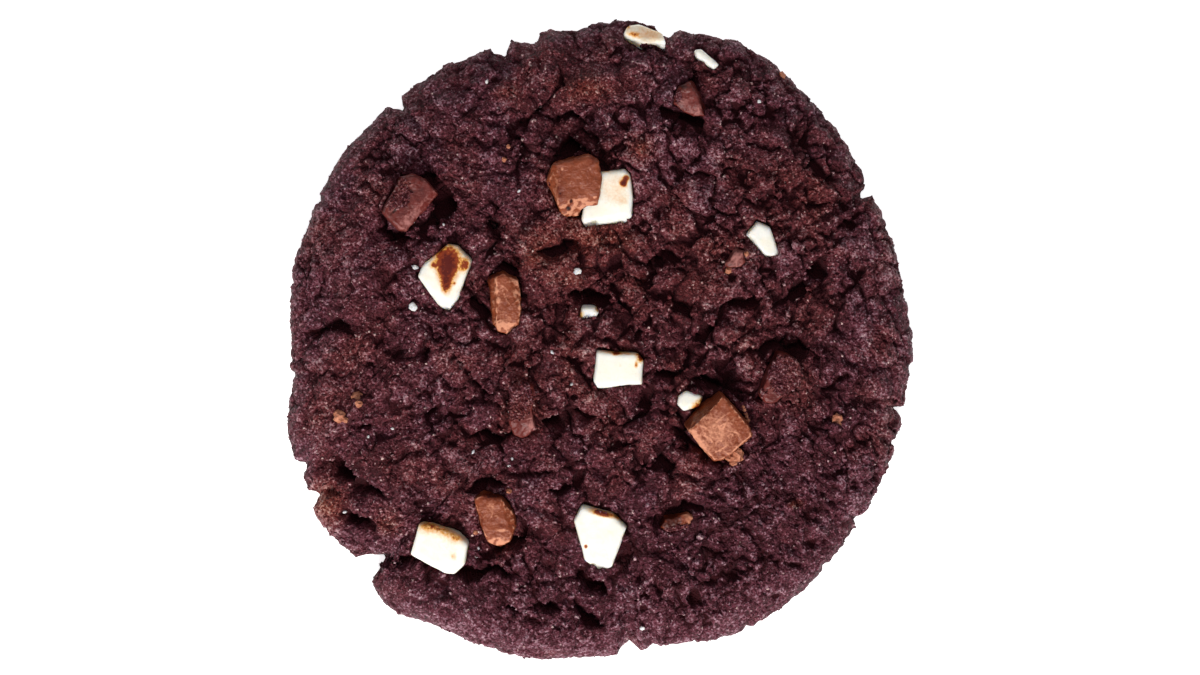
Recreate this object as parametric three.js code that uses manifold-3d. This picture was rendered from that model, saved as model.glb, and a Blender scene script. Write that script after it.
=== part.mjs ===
// A large, thick chocolate cookie with chopped white, milk and dark chocolate baked into it.
// Millimetres, +Z up. The cookie lies flat on its base, and the origin is the centre of the base.
// +Y is the side that is away from a person who looks down on the cookie.

import * as THREE from "three";
import { mergeVertices } from "three/addons/utils/BufferGeometryUtils.js";
import Module from "manifold-3d";

// Driving dimensions of the dough
const RADIUS = 49.6;
const MIDDLE_HEIGHT = 12.6;
const FALL_TO_RIM = 3.4;
const WIDEST_HEIGHT = 3.9;
const BASE_INSET = 1.7;
const RIM_ROLL = 9;
const RIM_ROLL_POWER = 0.5;
const EDGE_WAVE = 0.15;
const BROAD_LUMP_RISE = 0.55;
const BROAD_LUMP_SPACING = 15;
const SMALL_LUMP_RISE = 0.42;
const SMALL_LUMPS_TO_A_BROAD = 2.2;
const LUMP_ROW_BEND = 1.35;
const LUMP_ROW_BEND_SPACING = 29;
const NOTCH_CLEARANCE = 6;
const CRACK_HEADROOM = 1.6;
const CRACK_STEP = 2.3;
const CRACK_JAG = 0.35;
const CRACK_JAG_TURN = 2.4;
const CRACK_END = 0.3;

// Driving dimensions of the chocolate
const CHUNK_EDGE = 0.55;
const CHUNK_EDGE_STEPS = 2;
const GAP = 0.3;

// Points closer than this are one point
const MERGE_DISTANCE = 0.002;

// Mesh density of the dough
const TOP_RINGS = 25;
const POINTS_PER_RING = 6;
const RIM_CROWDING = 0.05;
const RIM_CROWDING_POWER = 8;
const SIDE_LEVELS = [0.6, 0.22, 0];
const BASE_RINGS = [[48, 0.62], [12, 0.22]];

// The outline is a circle with broad swells: [angle in degrees, half width in degrees, rise]
const SWELLS = [
  [0, 14, 0.2], [46, 12, 0.9], [63, 15, 2.6], [86, 7, 1.3], [99, 3, 0.5], [117, 6, 0.6],
  [146, 20, 1.1], [199, 8, 2.6], [215, 9, 3.8], [231, 7, 3.2], [246, 16, 3.1], [262, 8, 0.9],
  [303, 22, 2.4], [331, 14, 0.6], [348, 8, 0.3],
];

// Notches that go right through the rim: [angle in degrees, mouth, depth, lean of the tip]
const NOTCHES = [
  [130.6, 2.6, 2.2, -0.2],
  [108.4, 3.4, 2.2, 0.2],
  [77.8, 4.2, 1.6, -0.6],
  [29, 1.8, 2.2, -0.5],
  [346.5, 2.2, 1.7, 0.4],
  [275.5, 3.8, 2.2, 0.2],
  [224.3, 4.2, 4.3, 1.2],
  [203.2, 3.2, 1.4, -0.2],
];

// Lumps and hollows of the top: [x, y, half length, half width, turn in degrees, rise]
const LUMPS = [
  [-1.9, 39.8, 5.6, 2.9, 0, 1.0],
  [6.7, 30.2, 2.4, 2.8, 0, 0.7],
  [30.5, -8.0, 4.6, 5.4, 20, 1.0],
  [11.0, 9.0, 5.5, 4.6, 30, 0.8],
  [-8.0, 12.6, 6.0, 4.4, 0, 0.9],
  [-32.5, 23.5, 5.2, 4.8, 48, 0.9],
  [-11.0, -7.0, 6.0, 5.0, 0, 0.8],
  [20.0, 22.0, 6.0, 5.0, 0, 0.7],
  [-37.5, 6.0, 6.0, 6.5, 0, 0.7],
  [-34.0, -26.0, 4.2, 2.8, 10, 0.9],
  [33.0, 31.0, 5.0, 4.5, 45, 0.7],
  [4.0, -20.0, 7.0, 4.2, 10, 0.7],
  [29.0, -27.0, 8.0, 3.5, 15, 0.6],
  [-24.0, -44.0, 7.0, 3.6, -20, 1.0],
  [16.0, -41.5, 6.0, 4.0, 10, 0.8],
  [-43.0, -25.5, 5.0, 5.5, 40, -2.6],
  [-42.0, -21.5, 2.2, 1.6, 0, -1.6],
  [-29.5, -38.0, 5.5, 1.8, -28, -1.8],
  [-1.2, -40.5, 3.0, 6.0, 25, -1.7],
  [15.5, -41.0, 1.6, 1.4, 0, -1.4],
  [34.5, -32.5, 1.8, 1.2, 20, -1.4],
];

// Cracks in the crust: [x and y of each end, bow to the left, width, depth]
const CRACKS = [
  [-6, 44, -14.4, 33.7, 1.9, 1.0, 2.2],
  [-14.4, 33.7, -12.5, 26.4, 1.6, 1.1, 2.2],
  [-9.1, 36.1, -2.1, 34.2, 0.3, 0.8, 1.6],
  [33.8, 36.3, 38.1, 25.7, -2.3, 1.0, 2.2],
  [-47.2, 0.4, -38.8, 1.4, 1.3, 1.2, 2.2],
  [37, 13.7, 28.4, 6, 0.8, 1.3, 2.4],
  [42.5, 11.9, 38.1, 7.1, 0.4, 0.9, 1.8],
  [42.8, 20.3, 38.8, 18, -0.3, 1.0, 1.8],
  [33.3, 24.4, 37.5, 21.2, -1.1, 0.8, 1.6],
  [38.1, 6.3, 39.6, 0.7, -1, 0.8, 1.6],
  [25.8, 6.5, 16, -0.9, -1.7, 1.2, 2.4],
  [16, -0.9, 9, -6.3, 0.9, 1.1, 2.2],
  [9, -6.3, 3.7, -14.2, 0.7, 1.0, 2.0],
  [13.9, 13.9, 6.4, 8.6, -1.2, 0.9, 1.8],
  [13.6, 11, 14.6, 0.9, -0.7, 0.9, 1.8],
  [7.9, 4.6, 6.3, 0.2, 0.2, 0.8, 1.5],
  [-2.7, 15.1, -9.6, 13.7, -0.4, 0.9, 1.8],
  [-17.1, 22.2, -18.4, 12.6, 1.5, 1.2, 2.2],
  [-3.7, 5.4, -6.7, 1.8, -0.5, 0.8, 1.6],
  [-28, 0.1, -28, -3.9, 0.6, 0.8, 1.5],
  [-6.3, -3.1, -1, -7.9, 1.5, 1.0, 1.8],
  [-18.9, -5.4, -18.4, -10, -0.7, 0.8, 1.5],
  [-1.9, -11.8, -10.1, -15.5, -1.1, 1.1, 2.0],
  [-10.1, -15.5, -21, -16.7, -1.1, 1.1, 2.0],
  [40.4, -5.8, 35.6, -8.1, 0.2, 0.9, 1.6],
  [10.3, -16.4, 11.9, -21.7, -0.9, 1.0, 1.8],
  [1.4, -16.7, 6.9, -15.5, 0.2, 0.8, 1.5],
  [-1.8, -21.6, -8, -24.1, 0.4, 0.9, 1.6],
  [-35, -34.6, -24.5, -37.6, 1.2, 1.4, 2.6],
  [-25.2, -39.2, -12.8, -37.6, 1.5, 1.4, 2.6],
  [-2.6, -36.4, 1.1, -40.9, -1.1, 1.4, 2.4],
  [-3.4, -41.4, 0, -46.6, 0.3, 1.6, 2.6],
  [-11.7, -42.7, -5.1, -41.9, -0.6, 1.0, 1.8],
  [-41.8, -28, -36.2, -30.7, 0.7, 1.3, 2.2],
];

// Gaps beside the chunks, where the dough drew back as it baked: the same seven values
const CHUNK_GAPS = [
  [-8, 26.6, 1.4, 27, 4.2, 1.8, 3.0],
  [-17.6, 10.8, -18.2, 3.4, -1.2, 1.8, 2.8],
  [13.4, -8.2, 22.8, -9.2, 2.4, 2.0, 3.4],
  [12.6, -10.6, 17.6, -18.8, -1.4, 1.5, 2.6],
  [-20.9, -24, -14.9, -23.2, 0.6, 1.3, 2.4],
  [-12.6, -28.6, -16, -33.6, 1.2, 1.5, 2.6],
  [8.4, -29.8, 16.4, -27, 1.6, 1.2, 2.2],
  [-28.6, 26.2, -28, 17.6, 3.4, 2.0, 3.0],
  [-35, 19.9, -31, 15.7, -0.3, 1.3, 2.2],
  [10, 37.4, 17, 34.8, -0.8, 1.4, 2.4],
  [25.8, -10.4, 26.4, -1, -1.2, 1.8, 2.8],
  [25.2, -2.2, 34.8, -3.6, 2.2, 1.4, 2.4],
  [-14.8, -8.4, -13, -14.4, -0.4, 1.0, 1.8],
];

// Colours of the dough and of the three chocolates
const DOUGH = { color: 0x4a2c30, roughness: 0.85, metalness: 0 };
const WHITE = { color: 0xf6ecd6, roughness: 0.45, metalness: 0 };
const MILK = { color: 0xa3644b, roughness: 0.42, metalness: 0 };
const DARK = { color: 0x633634, roughness: 0.42, metalness: 0 };

// The chunks: centre, outline round it, thickness, height of the top above the dough there,
// and the lean, which is how far the top tips and the direction that it tips towards.
const CHUNKS = [
  { name: "white_chunk_1", kind: WHITE, at: [-25.3, -32.9], thick: 5.4, rise: 1.3, lean: [9, 240],
    outline: [[-3.2, 3.9], [-1.4, 3.9], [3.1, 2.3], [4.7, 0.7], [4.1, -2.6], [2.5, -4.2], [1, -4.1],
      [-4.6, -1.1]] },
  { name: "white_chunk_2", kind: WHITE, at: [0.2, -31.5], thick: 5, rise: 0.7, lean: [8, 260],
    outline: [[-2.9, 5.4], [2, 4.1], [4.3, 1.9], [1.9, -4.6], [-0.3, -5.1], [-2.5, -3.4], [-4.2, 3]] },
  { name: "white_chunk_3", kind: WHITE, at: [3.1, -4.6], thick: 5, rise: 1.2, lean: [6, 280],
    outline: [[-3.5, 3], [3.1, 2.5], [4, 1.4], [3.7, -2.4], [1.4, -2.4], [-1.7, -3], [-3.4, -3],
      [-4.1, -1.8]] },
  { name: "white_chunk_4", kind: WHITE, at: [1.7, 22.6], thick: 4.2, rise: 0.5, lean: [5, 270],
    outline: [[-3.2, 3.9], [2.4, 4.6], [3.3, 3.7], [3.8, 0], [3.6, -3], [2.6, -3.9], [-3.9, -4.7],
      [-4.5, -3.4]] },
  { name: "white_chunk_5", kind: WHITE, at: [-24.5, 9.9], thick: 4.4, rise: 0.6, lean: [6, 220],
    outline: [[-4.3, 0.2], [-3.5, 2], [0.6, 5.4], [2.2, 5.1], [4.4, 2.7], [2.2, -3.6], [0.7, -5.4],
      [-0.8, -4.7]] },
  { name: "white_chunk_6", kind: WHITE, at: [26.1, 15.8], thick: 3, rise: 0.6, lean: [10, 300],
    outline: [[-2.9, 1], [-1, 3.1], [1.1, 2.2], [2.8, -2.6], [0.3, -2.5]] },
  { name: "white_chunk_7", kind: WHITE, at: [17.1, 44.6], thick: 2.6, rise: 0.3, lean: [12, 70],
    outline: [[-2, 1.5], [-0.8, 1.7], [2, -0.9], [1.2, -1.7], [-1.6, 0.3]] },
  { name: "white_chunk_8", kind: WHITE, at: [7.1, 48], thick: 3.6, rise: 0.5, lean: [30, 85],
    outline: [[-3.3, 0.2], [-2.6, 1.6], [-0.8, 2], [3, 0.4], [3.6, -1.5], [-0.2, -1.7]] },
  { name: "white_chunk_9", kind: WHITE, at: [-1.6, 4.4], thick: 3, rise: 0.2, lean: [14, 270],
    outline: [[-1.6, -0.5], [-1.1, 1], [1, 1], [1.7, 0.1], [1, -1], [-0.9, -1.1]] },
  { name: "white_chunk_10", kind: WHITE, at: [14.1, -9.8], thick: 3.4, rise: 0.1, lean: [6, 150],
    under: "milk_chunk_3",
    outline: [[-0.2, 1.7], [2.4, 0.8], [2, -0.9], [-0.6, -1.6], [-1.7, -0.6], [-1.5, 0.9]] },
  { name: "milk_chunk_1", kind: MILK, at: [-3.6, 24.4], thick: 5.6, rise: 2.6, lean: [7, 285],
    under: "white_chunk_4",
    outline: [[-3.6, 3.7], [1.8, 5.1], [3.4, 4.2], [4.1, 1.8], [3.4, -3.3], [0.2, -5], [-2.3, -4.9],
      [-4.7, 1]] },
  { name: "milk_chunk_2", kind: MILK, at: [-15.1, 6], thick: 5.2, rise: 1.9, lean: [7, 290],
    outline: [[-2.5, 3.8], [-0.2, 4.9], [2.3, 3.6], [2.7, 1.7], [2.5, -3.4], [0.9, -4.8], [-0.8, -4.7],
      [-1.8, -3.2]] },
  { name: "milk_chunk_3", kind: MILK, at: [18.9, -13.7], thick: 5.8, rise: 2.4, lean: [13, 300],
    outline: [[-5.2, 0], [-2.8, 2.8], [0.4, 5.4], [4.7, 0.6], [5.3, -1.2], [2.6, -3.6], [0.6, -5.1],
      [-0.9, -5.4], [-3.6, -2.3]] },
  { name: "milk_chunk_4", kind: MILK, at: [-16.2, -28.4], thick: 5.4, rise: 1.7, lean: [8, 250],
    outline: [[-3.7, 3.5], [-1.9, 4.2], [0.9, 3.6], [2.8, 1], [3.1, -1], [2.2, -3.6], [0.2, -4.4],
      [-1.6, -3.6], [-2.7, -0.3]] },
  { name: "milk_chunk_5", kind: MILK, at: [12.3, -28.8], thick: 3.6, rise: 0.3, lean: [14, 280],
    outline: [[-2.7, -0.9], [-1.9, 0.6], [1.6, 1.6], [2.7, 0.9], [1.6, -0.9], [-1.2, -1.5]] },
  { name: "dark_chunk_1", kind: DARK, at: [-30.1, 21.4], thick: 5.2, rise: 1.3, lean: [9, 330],
    outline: [[-4.6, -1.1], [-1.5, 4.5], [0.4, 4.9], [2.4, 4.1], [4.4, 1.9], [-0.7, -4.2],
      [-1.9, -3.9]] },
  { name: "dark_chunk_2", kind: DARK, at: [14.6, 38.2], thick: 3.8, rise: 0.8, lean: [12, 230],
    outline: [[-1.9, 2.2], [0, 3], [1.5, 0.8], [2.4, -2.5], [0.7, -2.5], [-1.1, -1.8], [-2.7, -0.6]] },
  { name: "dark_chunk_3", kind: DARK, at: [29.2, -6], thick: 5, rise: 1.5, lean: [9, 310],
    outline: [[-0.9, 4.1], [0.8, 3.8], [2.2, 2.7], [2.9, 0.6], [2.1, -1.3], [-2, -4.2], [-3.3, -3.8],
      [-3.9, -2.4], [-2.1, 2]] },
  { name: "dark_chunk_4", kind: DARK, at: [-12.3, -11], thick: 4, rise: 0.8, lean: [6, 270],
    outline: [[-1.9, 3.8], [0, 4.6], [1.9, 3.8], [2.1, -2.8], [1.2, -4.2], [0, -4.7], [-1.4, -4],
      [-2, -2.6]] },
  { name: "dark_chunk_5", kind: DARK, at: [22, 12.9], thick: 2.8, rise: 0.4, lean: [10, 250],
    outline: [[-1.9, -0.8], [-0.3, 1.5], [1, 1.2], [1.3, -0.6], [0.4, -1.3], [-1.3, -1.4]] },
];

const wasm = await Module();
wasm.setup();

// Radius of the outline at an angle, before the notches
function outlineRadius(angle) {
  let radius = RADIUS + EDGE_WAVE * (Math.sin(11 * angle + 0.8) + Math.sin(17 * angle + 2.1));
  for (const [centre, width, rise] of SWELLS) {
    const turn = THREE.MathUtils.radToDeg(angle) - centre;
    const away = THREE.MathUtils.euclideanModulo(turn + 180, 360) - 180;
    radius += rise * Math.exp(-((away / width) ** 2));
  }
  return radius;
}

// Rounded lumps, broad and small, all over the top
function lumpiness(x, y) {
  const turns = (2 * Math.PI) / BROAD_LUMP_SPACING;
  const bends = (2 * Math.PI) / LUMP_ROW_BEND_SPACING;
  const bentX = turns * x + LUMP_ROW_BEND * Math.sin(bends * y);
  const bentY = turns * y + LUMP_ROW_BEND * Math.sin(bends * x);
  const broad = Math.sin(bentX) * Math.cos(bentY);
  const small = Math.cos(SMALL_LUMPS_TO_A_BROAD * bentX) * Math.cos(SMALL_LUMPS_TO_A_BROAD * bentY);
  return BROAD_LUMP_RISE * broad + SMALL_LUMP_RISE * small;
}

// The lumps and hollows that can be told apart
function namedRelief(x, y) {
  let rise = 0;
  for (const [cx, cy, length, width, turn, height] of LUMPS) {
    const a = THREE.MathUtils.degToRad(turn);
    const along = ((x - cx) * Math.cos(a) + (y - cy) * Math.sin(a)) / length;
    const across = ((y - cy) * Math.cos(a) - (x - cx) * Math.sin(a)) / width;
    rise += height * Math.exp(-(along * along + across * across));
  }
  return rise;
}

// Height of the top at a point: a low dome that rolls over at the rim
function topHeight(x, y) {
  const share = Math.min(1, Math.hypot(x, y) / outlineRadius(Math.atan2(y, x)));
  const roll = (1 - share ** RIM_ROLL) ** RIM_ROLL_POWER;
  const dome = MIDDLE_HEIGHT - FALL_TO_RIM * share * share - WIDEST_HEIGHT;
  return WIDEST_HEIGHT + roll * (dome + lumpiness(x, y) + namedRelief(x, y));
}

// A ring of points round the cookie, at a share of its radius, drawn in by an inset
function ring(count, share, inset, heightAt) {
  const points = [];
  for (let i = 0; i < count; i++) {
    const angle = (2 * Math.PI * i) / count;
    const radius = share * outlineRadius(angle) - inset;
    const x = radius * Math.cos(angle);
    const y = radius * Math.sin(angle);
    points.push([x, y, heightAt(x, y)]);
  }
  return points;
}

// All the rings of the dough, from the middle of the top over the rim to the middle of the base
function doughRings() {
  const rings = [[[0, 0, topHeight(0, 0)]]];
  for (let k = 1; k <= TOP_RINGS; k++) {
    const step = k / TOP_RINGS;
    const share = step * (1 + RIM_CROWDING * (1 - step ** RIM_CROWDING_POWER));
    rings.push(ring(POINTS_PER_RING * k, share, 0, topHeight));
  }
  const around = POINTS_PER_RING * TOP_RINGS;
  for (const level of SIDE_LEVELS) {
    const inset = BASE_INSET * (1 - level) ** 2;
    rings.push(ring(around, 1, inset, () => level * WIDEST_HEIGHT));
  }
  for (const [count, share] of BASE_RINGS) {
    rings.push(ring(count, share, 0, () => 0));
  }
  rings.push([[0, 0, 0]]);
  return rings;
}

// Triangles between two rings of any two counts, facing out when the second ring lies outside
function stitch(first, second, firstStart, secondStart, triangles) {
  let i = 0;
  let j = 0;
  while (i < first || j < second) {
    const a = firstStart + (i % first);
    const b = secondStart + (j % second);
    const nextFirst = first > 1 ? (i + 1) / first : Infinity;
    const nextSecond = second > 1 ? (j + 1) / second : Infinity;
    if (nextSecond <= nextFirst && j < second) {
      triangles.push(a, b, secondStart + ((j + 1) % second));
      j += 1;
    } else if (i < first && first > 1) {
      triangles.push(a, b, firstStart + ((i + 1) % first));
      i += 1;
    } else {
      break;
    }
  }
}

// One closed solid from a list of rings
function solidOfRings(rings) {
  const triangles = [];
  let start = 0;
  for (let k = 0; k + 1 < rings.length; k++) {
    const next = start + rings[k].length;
    stitch(rings[k].length, rings[k + 1].length, start, next, triangles);
    start = next;
  }
  return new wasm.Manifold(new wasm.Mesh({
    numProp: 3,
    vertProperties: new Float32Array(rings.flat(2)),
    triVerts: new Uint32Array(triangles),
  }));
}

// A three.js geometry as a solid that can be cut
function solidOfGeometry(geometry) {
  const bare = geometry.clone();
  bare.deleteAttribute("normal");
  bare.deleteAttribute("uv");
  const merged = mergeVertices(bare, MERGE_DISTANCE);
  return new wasm.Manifold(new wasm.Mesh({
    numProp: 3,
    vertProperties: new Float32Array(merged.attributes.position.array),
    triVerts: new Uint32Array(merged.index.array),
  }));
}

// A solid as a three.js geometry
function geometryOfSolid(solid) {
  const mesh = solid.getMesh();
  const geometry = new THREE.BufferGeometry();
  geometry.setAttribute("position", new THREE.BufferAttribute(mesh.vertProperties, mesh.numProp));
  geometry.setIndex(new THREE.BufferAttribute(mesh.triVerts, 1));
  geometry.computeVertexNormals();
  return geometry;
}

// A wedge that follows a crack over the top, widest and deepest at the middle of its length
function crackWedge([x0, y0, x1, y1, bow, width, depth]) {
  const length = Math.hypot(x1 - x0, y1 - y0);
  const steps = Math.max(2, Math.round(length / CRACK_STEP));
  const left = [-(y1 - y0) / length, (x1 - x0) / length];
  const sections = [];
  for (let i = 0; i <= steps; i++) {
    const t = i / steps;
    const swell = Math.sin(Math.PI * t);
    const jag = i % steps === 0 ? 0 : CRACK_JAG * Math.sin(CRACK_JAG_TURN * i + x0);
    const aside = bow * swell + jag;
    const x = x0 + (x1 - x0) * t + left[0] * aside;
    const y = y0 + (y1 - y0) * t + left[1] * aside;
    const size = CRACK_END + (1 - CRACK_END) * swell;
    const deep = depth * size;
    const half = (0.5 * width * size * (deep + CRACK_HEADROOM)) / deep;
    const surface = topHeight(x, y);
    sections.push([
      [x + left[0] * half, y + left[1] * half, surface + CRACK_HEADROOM],
      [x - left[0] * half, y - left[1] * half, surface + CRACK_HEADROOM],
      [x, y, surface - deep],
    ]);
  }
  return solidOfSections(sections);
}

// A closed solid through a row of three-cornered sections
function solidOfSections(sections) {
  const triangles = [0, 2, 1];
  for (let i = 0; i + 1 < sections.length; i++) {
    for (let side = 0; side < 3; side++) {
      const a = 3 * i + side;
      const b = 3 * i + ((side + 1) % 3);
      triangles.push(a, b, a + 3, b, b + 3, a + 3);
    }
  }
  const last = 3 * (sections.length - 1);
  triangles.push(last, last + 1, last + 2);
  return new wasm.Manifold(new wasm.Mesh({
    numProp: 3,
    vertProperties: new Float32Array(sections.flat(2)),
    triVerts: new Uint32Array(triangles),
  }));
}

// A three-cornered bar that cuts a notch through the rim
function notchBar([degrees, mouth, depth, lean]) {
  const angle = THREE.MathUtils.degToRad(degrees);
  const rim = outlineRadius(angle);
  const outside = rim + NOTCH_CLEARANCE;
  const half = (0.5 * mouth * (depth + NOTCH_CLEARANCE)) / depth;
  const shape = new THREE.Shape();
  shape.moveTo(rim - depth, lean);
  shape.lineTo(outside, -half);
  shape.lineTo(outside, half);
  const height = MIDDLE_HEIGHT + 2 * NOTCH_CLEARANCE;
  const bar = new THREE.ExtrudeGeometry(shape, { depth: height, bevelEnabled: false });
  bar.translate(0, 0, -NOTCH_CLEARANCE);
  bar.rotateZ(angle);
  return solidOfGeometry(bar);
}

// A chopped piece of chocolate with its edges rounded, grown on all sides where asked
function chunkGeometry(chunk, grow) {
  const shape = new THREE.Shape(chunk.outline.map(([x, y]) => new THREE.Vector2(x, y)).reverse());
  const geometry = new THREE.ExtrudeGeometry(shape, {
    depth: chunk.thick - 2 * CHUNK_EDGE,
    bevelEnabled: true,
    bevelThickness: CHUNK_EDGE + grow,
    bevelSize: CHUNK_EDGE + grow,
    bevelOffset: -CHUNK_EDGE,
    bevelSegments: CHUNK_EDGE_STEPS,
    curveSegments: 1,
  });
  return geometry.translate(0, 0, CHUNK_EDGE - 0.5 * chunk.thick);
}

// The chunk's place: its top stands above the dough and tips by the lean
function chunkMatrix(chunk) {
  const [x, y] = chunk.at;
  const tip = THREE.MathUtils.degToRad(chunk.lean[0]);
  const towards = THREE.MathUtils.degToRad(chunk.lean[1]);
  const axis = new THREE.Vector3(-Math.sin(towards), Math.cos(towards), 0);
  const turn = new THREE.Quaternion().setFromAxisAngle(axis, tip);
  const middle = topHeight(x, y) + chunk.rise - 0.5 * chunk.thick;
  return new THREE.Matrix4().compose(new THREE.Vector3(x, y, middle), turn, new THREE.Vector3(1, 1, 1));
}

// The chunk as a solid in its place
function placedChunk(chunk, grow) {
  return solidOfGeometry(chunkGeometry(chunk, grow).applyMatrix4(chunkMatrix(chunk)));
}

// One chunk as a mesh. A chunk that lies against another is cut back to clear it.
function chunkMesh(chunk) {
  const matrix = chunkMatrix(chunk);
  let geometry = chunkGeometry(chunk, 0);
  if (chunk.under) {
    const other = CHUNKS.find((candidate) => candidate.name === chunk.under);
    const cut = placedChunk(chunk, 0).subtract(placedChunk(other, GAP));
    geometry = geometryOfSolid(largestBody(cut)).applyMatrix4(matrix.clone().invert());
  }
  const mesh = new THREE.Mesh(geometry, new THREE.MeshStandardMaterial(chunk.kind));
  matrix.decompose(mesh.position, mesh.quaternion, mesh.scale);
  mesh.name = chunk.name;
  return mesh;
}

// The largest of the bodies that the cuts leave, once points that nearly meet are one:
// the crumbs that come loose are dropped
function largestBody(solid) {
  const merged = solidOfGeometry(geometryOfSolid(solid));
  return merged.decompose().reduce((best, body) => (body.volume() > best.volume() ? body : best));
}

// The dough: the rounded disc with its notches, cracks, gaps and the pockets of the chunks
function doughMesh() {
  let solid = solidOfRings(doughRings());
  const cutters = [
    ...NOTCHES.map(notchBar),
    ...CRACKS.map(crackWedge),
    ...CHUNK_GAPS.map(crackWedge),
    ...CHUNKS.map((chunk) => placedChunk(chunk, GAP)),
  ];
  for (const cutter of cutters) {
    solid = solid.subtract(cutter);
  }
  const mesh = new THREE.Mesh(geometryOfSolid(largestBody(solid)), new THREE.MeshStandardMaterial(DOUGH));
  mesh.name = "dough";
  return mesh;
}

const cookie = new THREE.Group();
cookie.add(doughMesh());
for (const chunk of CHUNKS) {
  cookie.add(chunkMesh(chunk));
}

export default cookie;
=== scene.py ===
import bmesh
import bpy
import numpy as np
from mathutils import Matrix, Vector, geometry
from mathutils.bvhtree import BVHTree


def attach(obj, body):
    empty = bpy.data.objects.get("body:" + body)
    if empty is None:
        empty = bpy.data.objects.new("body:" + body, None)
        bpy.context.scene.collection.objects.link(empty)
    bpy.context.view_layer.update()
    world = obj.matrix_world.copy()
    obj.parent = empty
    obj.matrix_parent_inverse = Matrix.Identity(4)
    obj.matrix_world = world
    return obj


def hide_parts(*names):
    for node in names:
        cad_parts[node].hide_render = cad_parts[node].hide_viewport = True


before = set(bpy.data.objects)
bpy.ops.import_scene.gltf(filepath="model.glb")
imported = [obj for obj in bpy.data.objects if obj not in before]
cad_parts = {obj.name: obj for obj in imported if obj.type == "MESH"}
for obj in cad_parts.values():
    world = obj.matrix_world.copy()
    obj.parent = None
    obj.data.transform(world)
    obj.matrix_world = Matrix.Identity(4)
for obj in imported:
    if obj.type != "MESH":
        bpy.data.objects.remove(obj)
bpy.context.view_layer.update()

# ------------------------------------------------------------------------------------------------
# The dough: one cocoa dough, scooped and baked on a flat tray, where it spreads into an uneven
# disc, domes, and cracks as its crust sets. It is one closed skin of fine triangles: rings over
# the top, round the rim and under the base, moved along their normals by the crumb's relief.
# ------------------------------------------------------------------------------------------------
MM = 0.001

# Sizes in mm. The top rolls over to the rim by a power of the share of the radius.
DOUGH_RADIUS = 49.6
MIDDLE_HEIGHT = 12.6
FALL_TO_RIM = 3.4
WIDEST_HEIGHT = 3.9
BASE_INSET = 1.7
RIM_ROLL = 9
RIM_ROLL_POWER = 0.5
# The distance between points of the skin, on the crust and on the base
CRUST_STEP = 0.372
BASE_STEP = 1.3
SEAM_STEPS = 5

# The outline: [angle in degrees, half width in degrees, rise]
SWELLS = [
    [0, 14, 0.2], [46, 12, 0.9], [63, 15, 2.6], [86, 7, 1.3], [99, 3, 0.5], [117, 6, 0.6], [146, 20, 1.1],
    [199, 8, 2.6], [215, 9, 3.8], [231, 7, 3.2], [246, 16, 3.1], [262, 8, 0.9], [303, 22, 2.4],
    [331, 14, 0.6], [348, 8, 0.3],
]

# Notches in the rim: [angle in degrees, mouth, depth, lean of the tip]
NOTCHES = [
    [130.6, 2.6, 2.2, -0.2], [108.4, 3.4, 2.2, 0.2], [77.8, 4.2, 1.6, -0.6], [29, 1.8, 2.2, -0.5],
    [346.5, 2.2, 1.7, 0.4], [275.5, 3.8, 2.2, 0.2], [224.3, 4.2, 4.3, 1.2], [203.2, 3.2, 1.4, -0.2],
    [103.4, 4.6, 1.4, -1.0], [209, 3.0, 1.6, 0], [280, 2.4, 1.0, 0], [186.5, 1.8, 0.8, 0],
    [340.6, 1.8, 0.8, 0.3], [325.4, 1.7, 0.9, -0.3], [314.9, 1.6, 0.7, 0.2], [297.2, 1.6, 0.8, -0.2],
    [153.4, 1.8, 0.7, 0.3], [169.3, 1.4, 0.5, 0.2], [183.7, 1.4, 0.5, 0.2], [7.5, 1.8, 0.5, 0.2],
]

# Lumps and hollows of the top: [x, y, half length, half width, turn in degrees, rise]
LUMPS = [
    [-1.9, 39.8, 5.6, 2.9, 0, 1.0], [6.7, 30.2, 2.4, 2.8, 0, 0.7], [30.5, -8.0, 4.6, 5.4, 20, 1.0],
    [11.0, 9.0, 5.5, 4.6, 30, 0.8], [-8.0, 12.6, 6.0, 4.4, 0, 0.9], [-32.5, 23.5, 5.2, 4.8, 48, 0.9],
    [-11.0, -7.0, 6.0, 5.0, 0, 0.8], [20.0, 22.0, 6.0, 5.0, 0, 0.7], [-37.5, 6.0, 6.0, 6.5, 0, 0.7],
    [-34.0, -26.0, 4.2, 2.8, 10, 0.9], [33.0, 31.0, 5.0, 4.5, 45, 0.7], [4.0, -20.0, 7.0, 4.2, 10, 0.7],
    [29.0, -27.0, 8.0, 3.5, 15, 0.6], [-24.0, -44.0, 7.0, 3.6, -20, 1.0], [16.0, -41.5, 6.0, 4.0, 10, 0.8],
    [-43.0, -25.5, 5.0, 5.5, 40, -2.6], [-42.0, -21.5, 2.2, 1.6, 0, -1.6],
    [-29.5, -38.0, 5.5, 1.8, -28, -1.8], [-1.2, -40.5, 3.0, 6.0, 25, -1.7],
    [15.5, -41.0, 1.6, 1.4, 0, -1.4], [34.5, -32.5, 1.8, 1.2, 20, -1.4],
]

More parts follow.
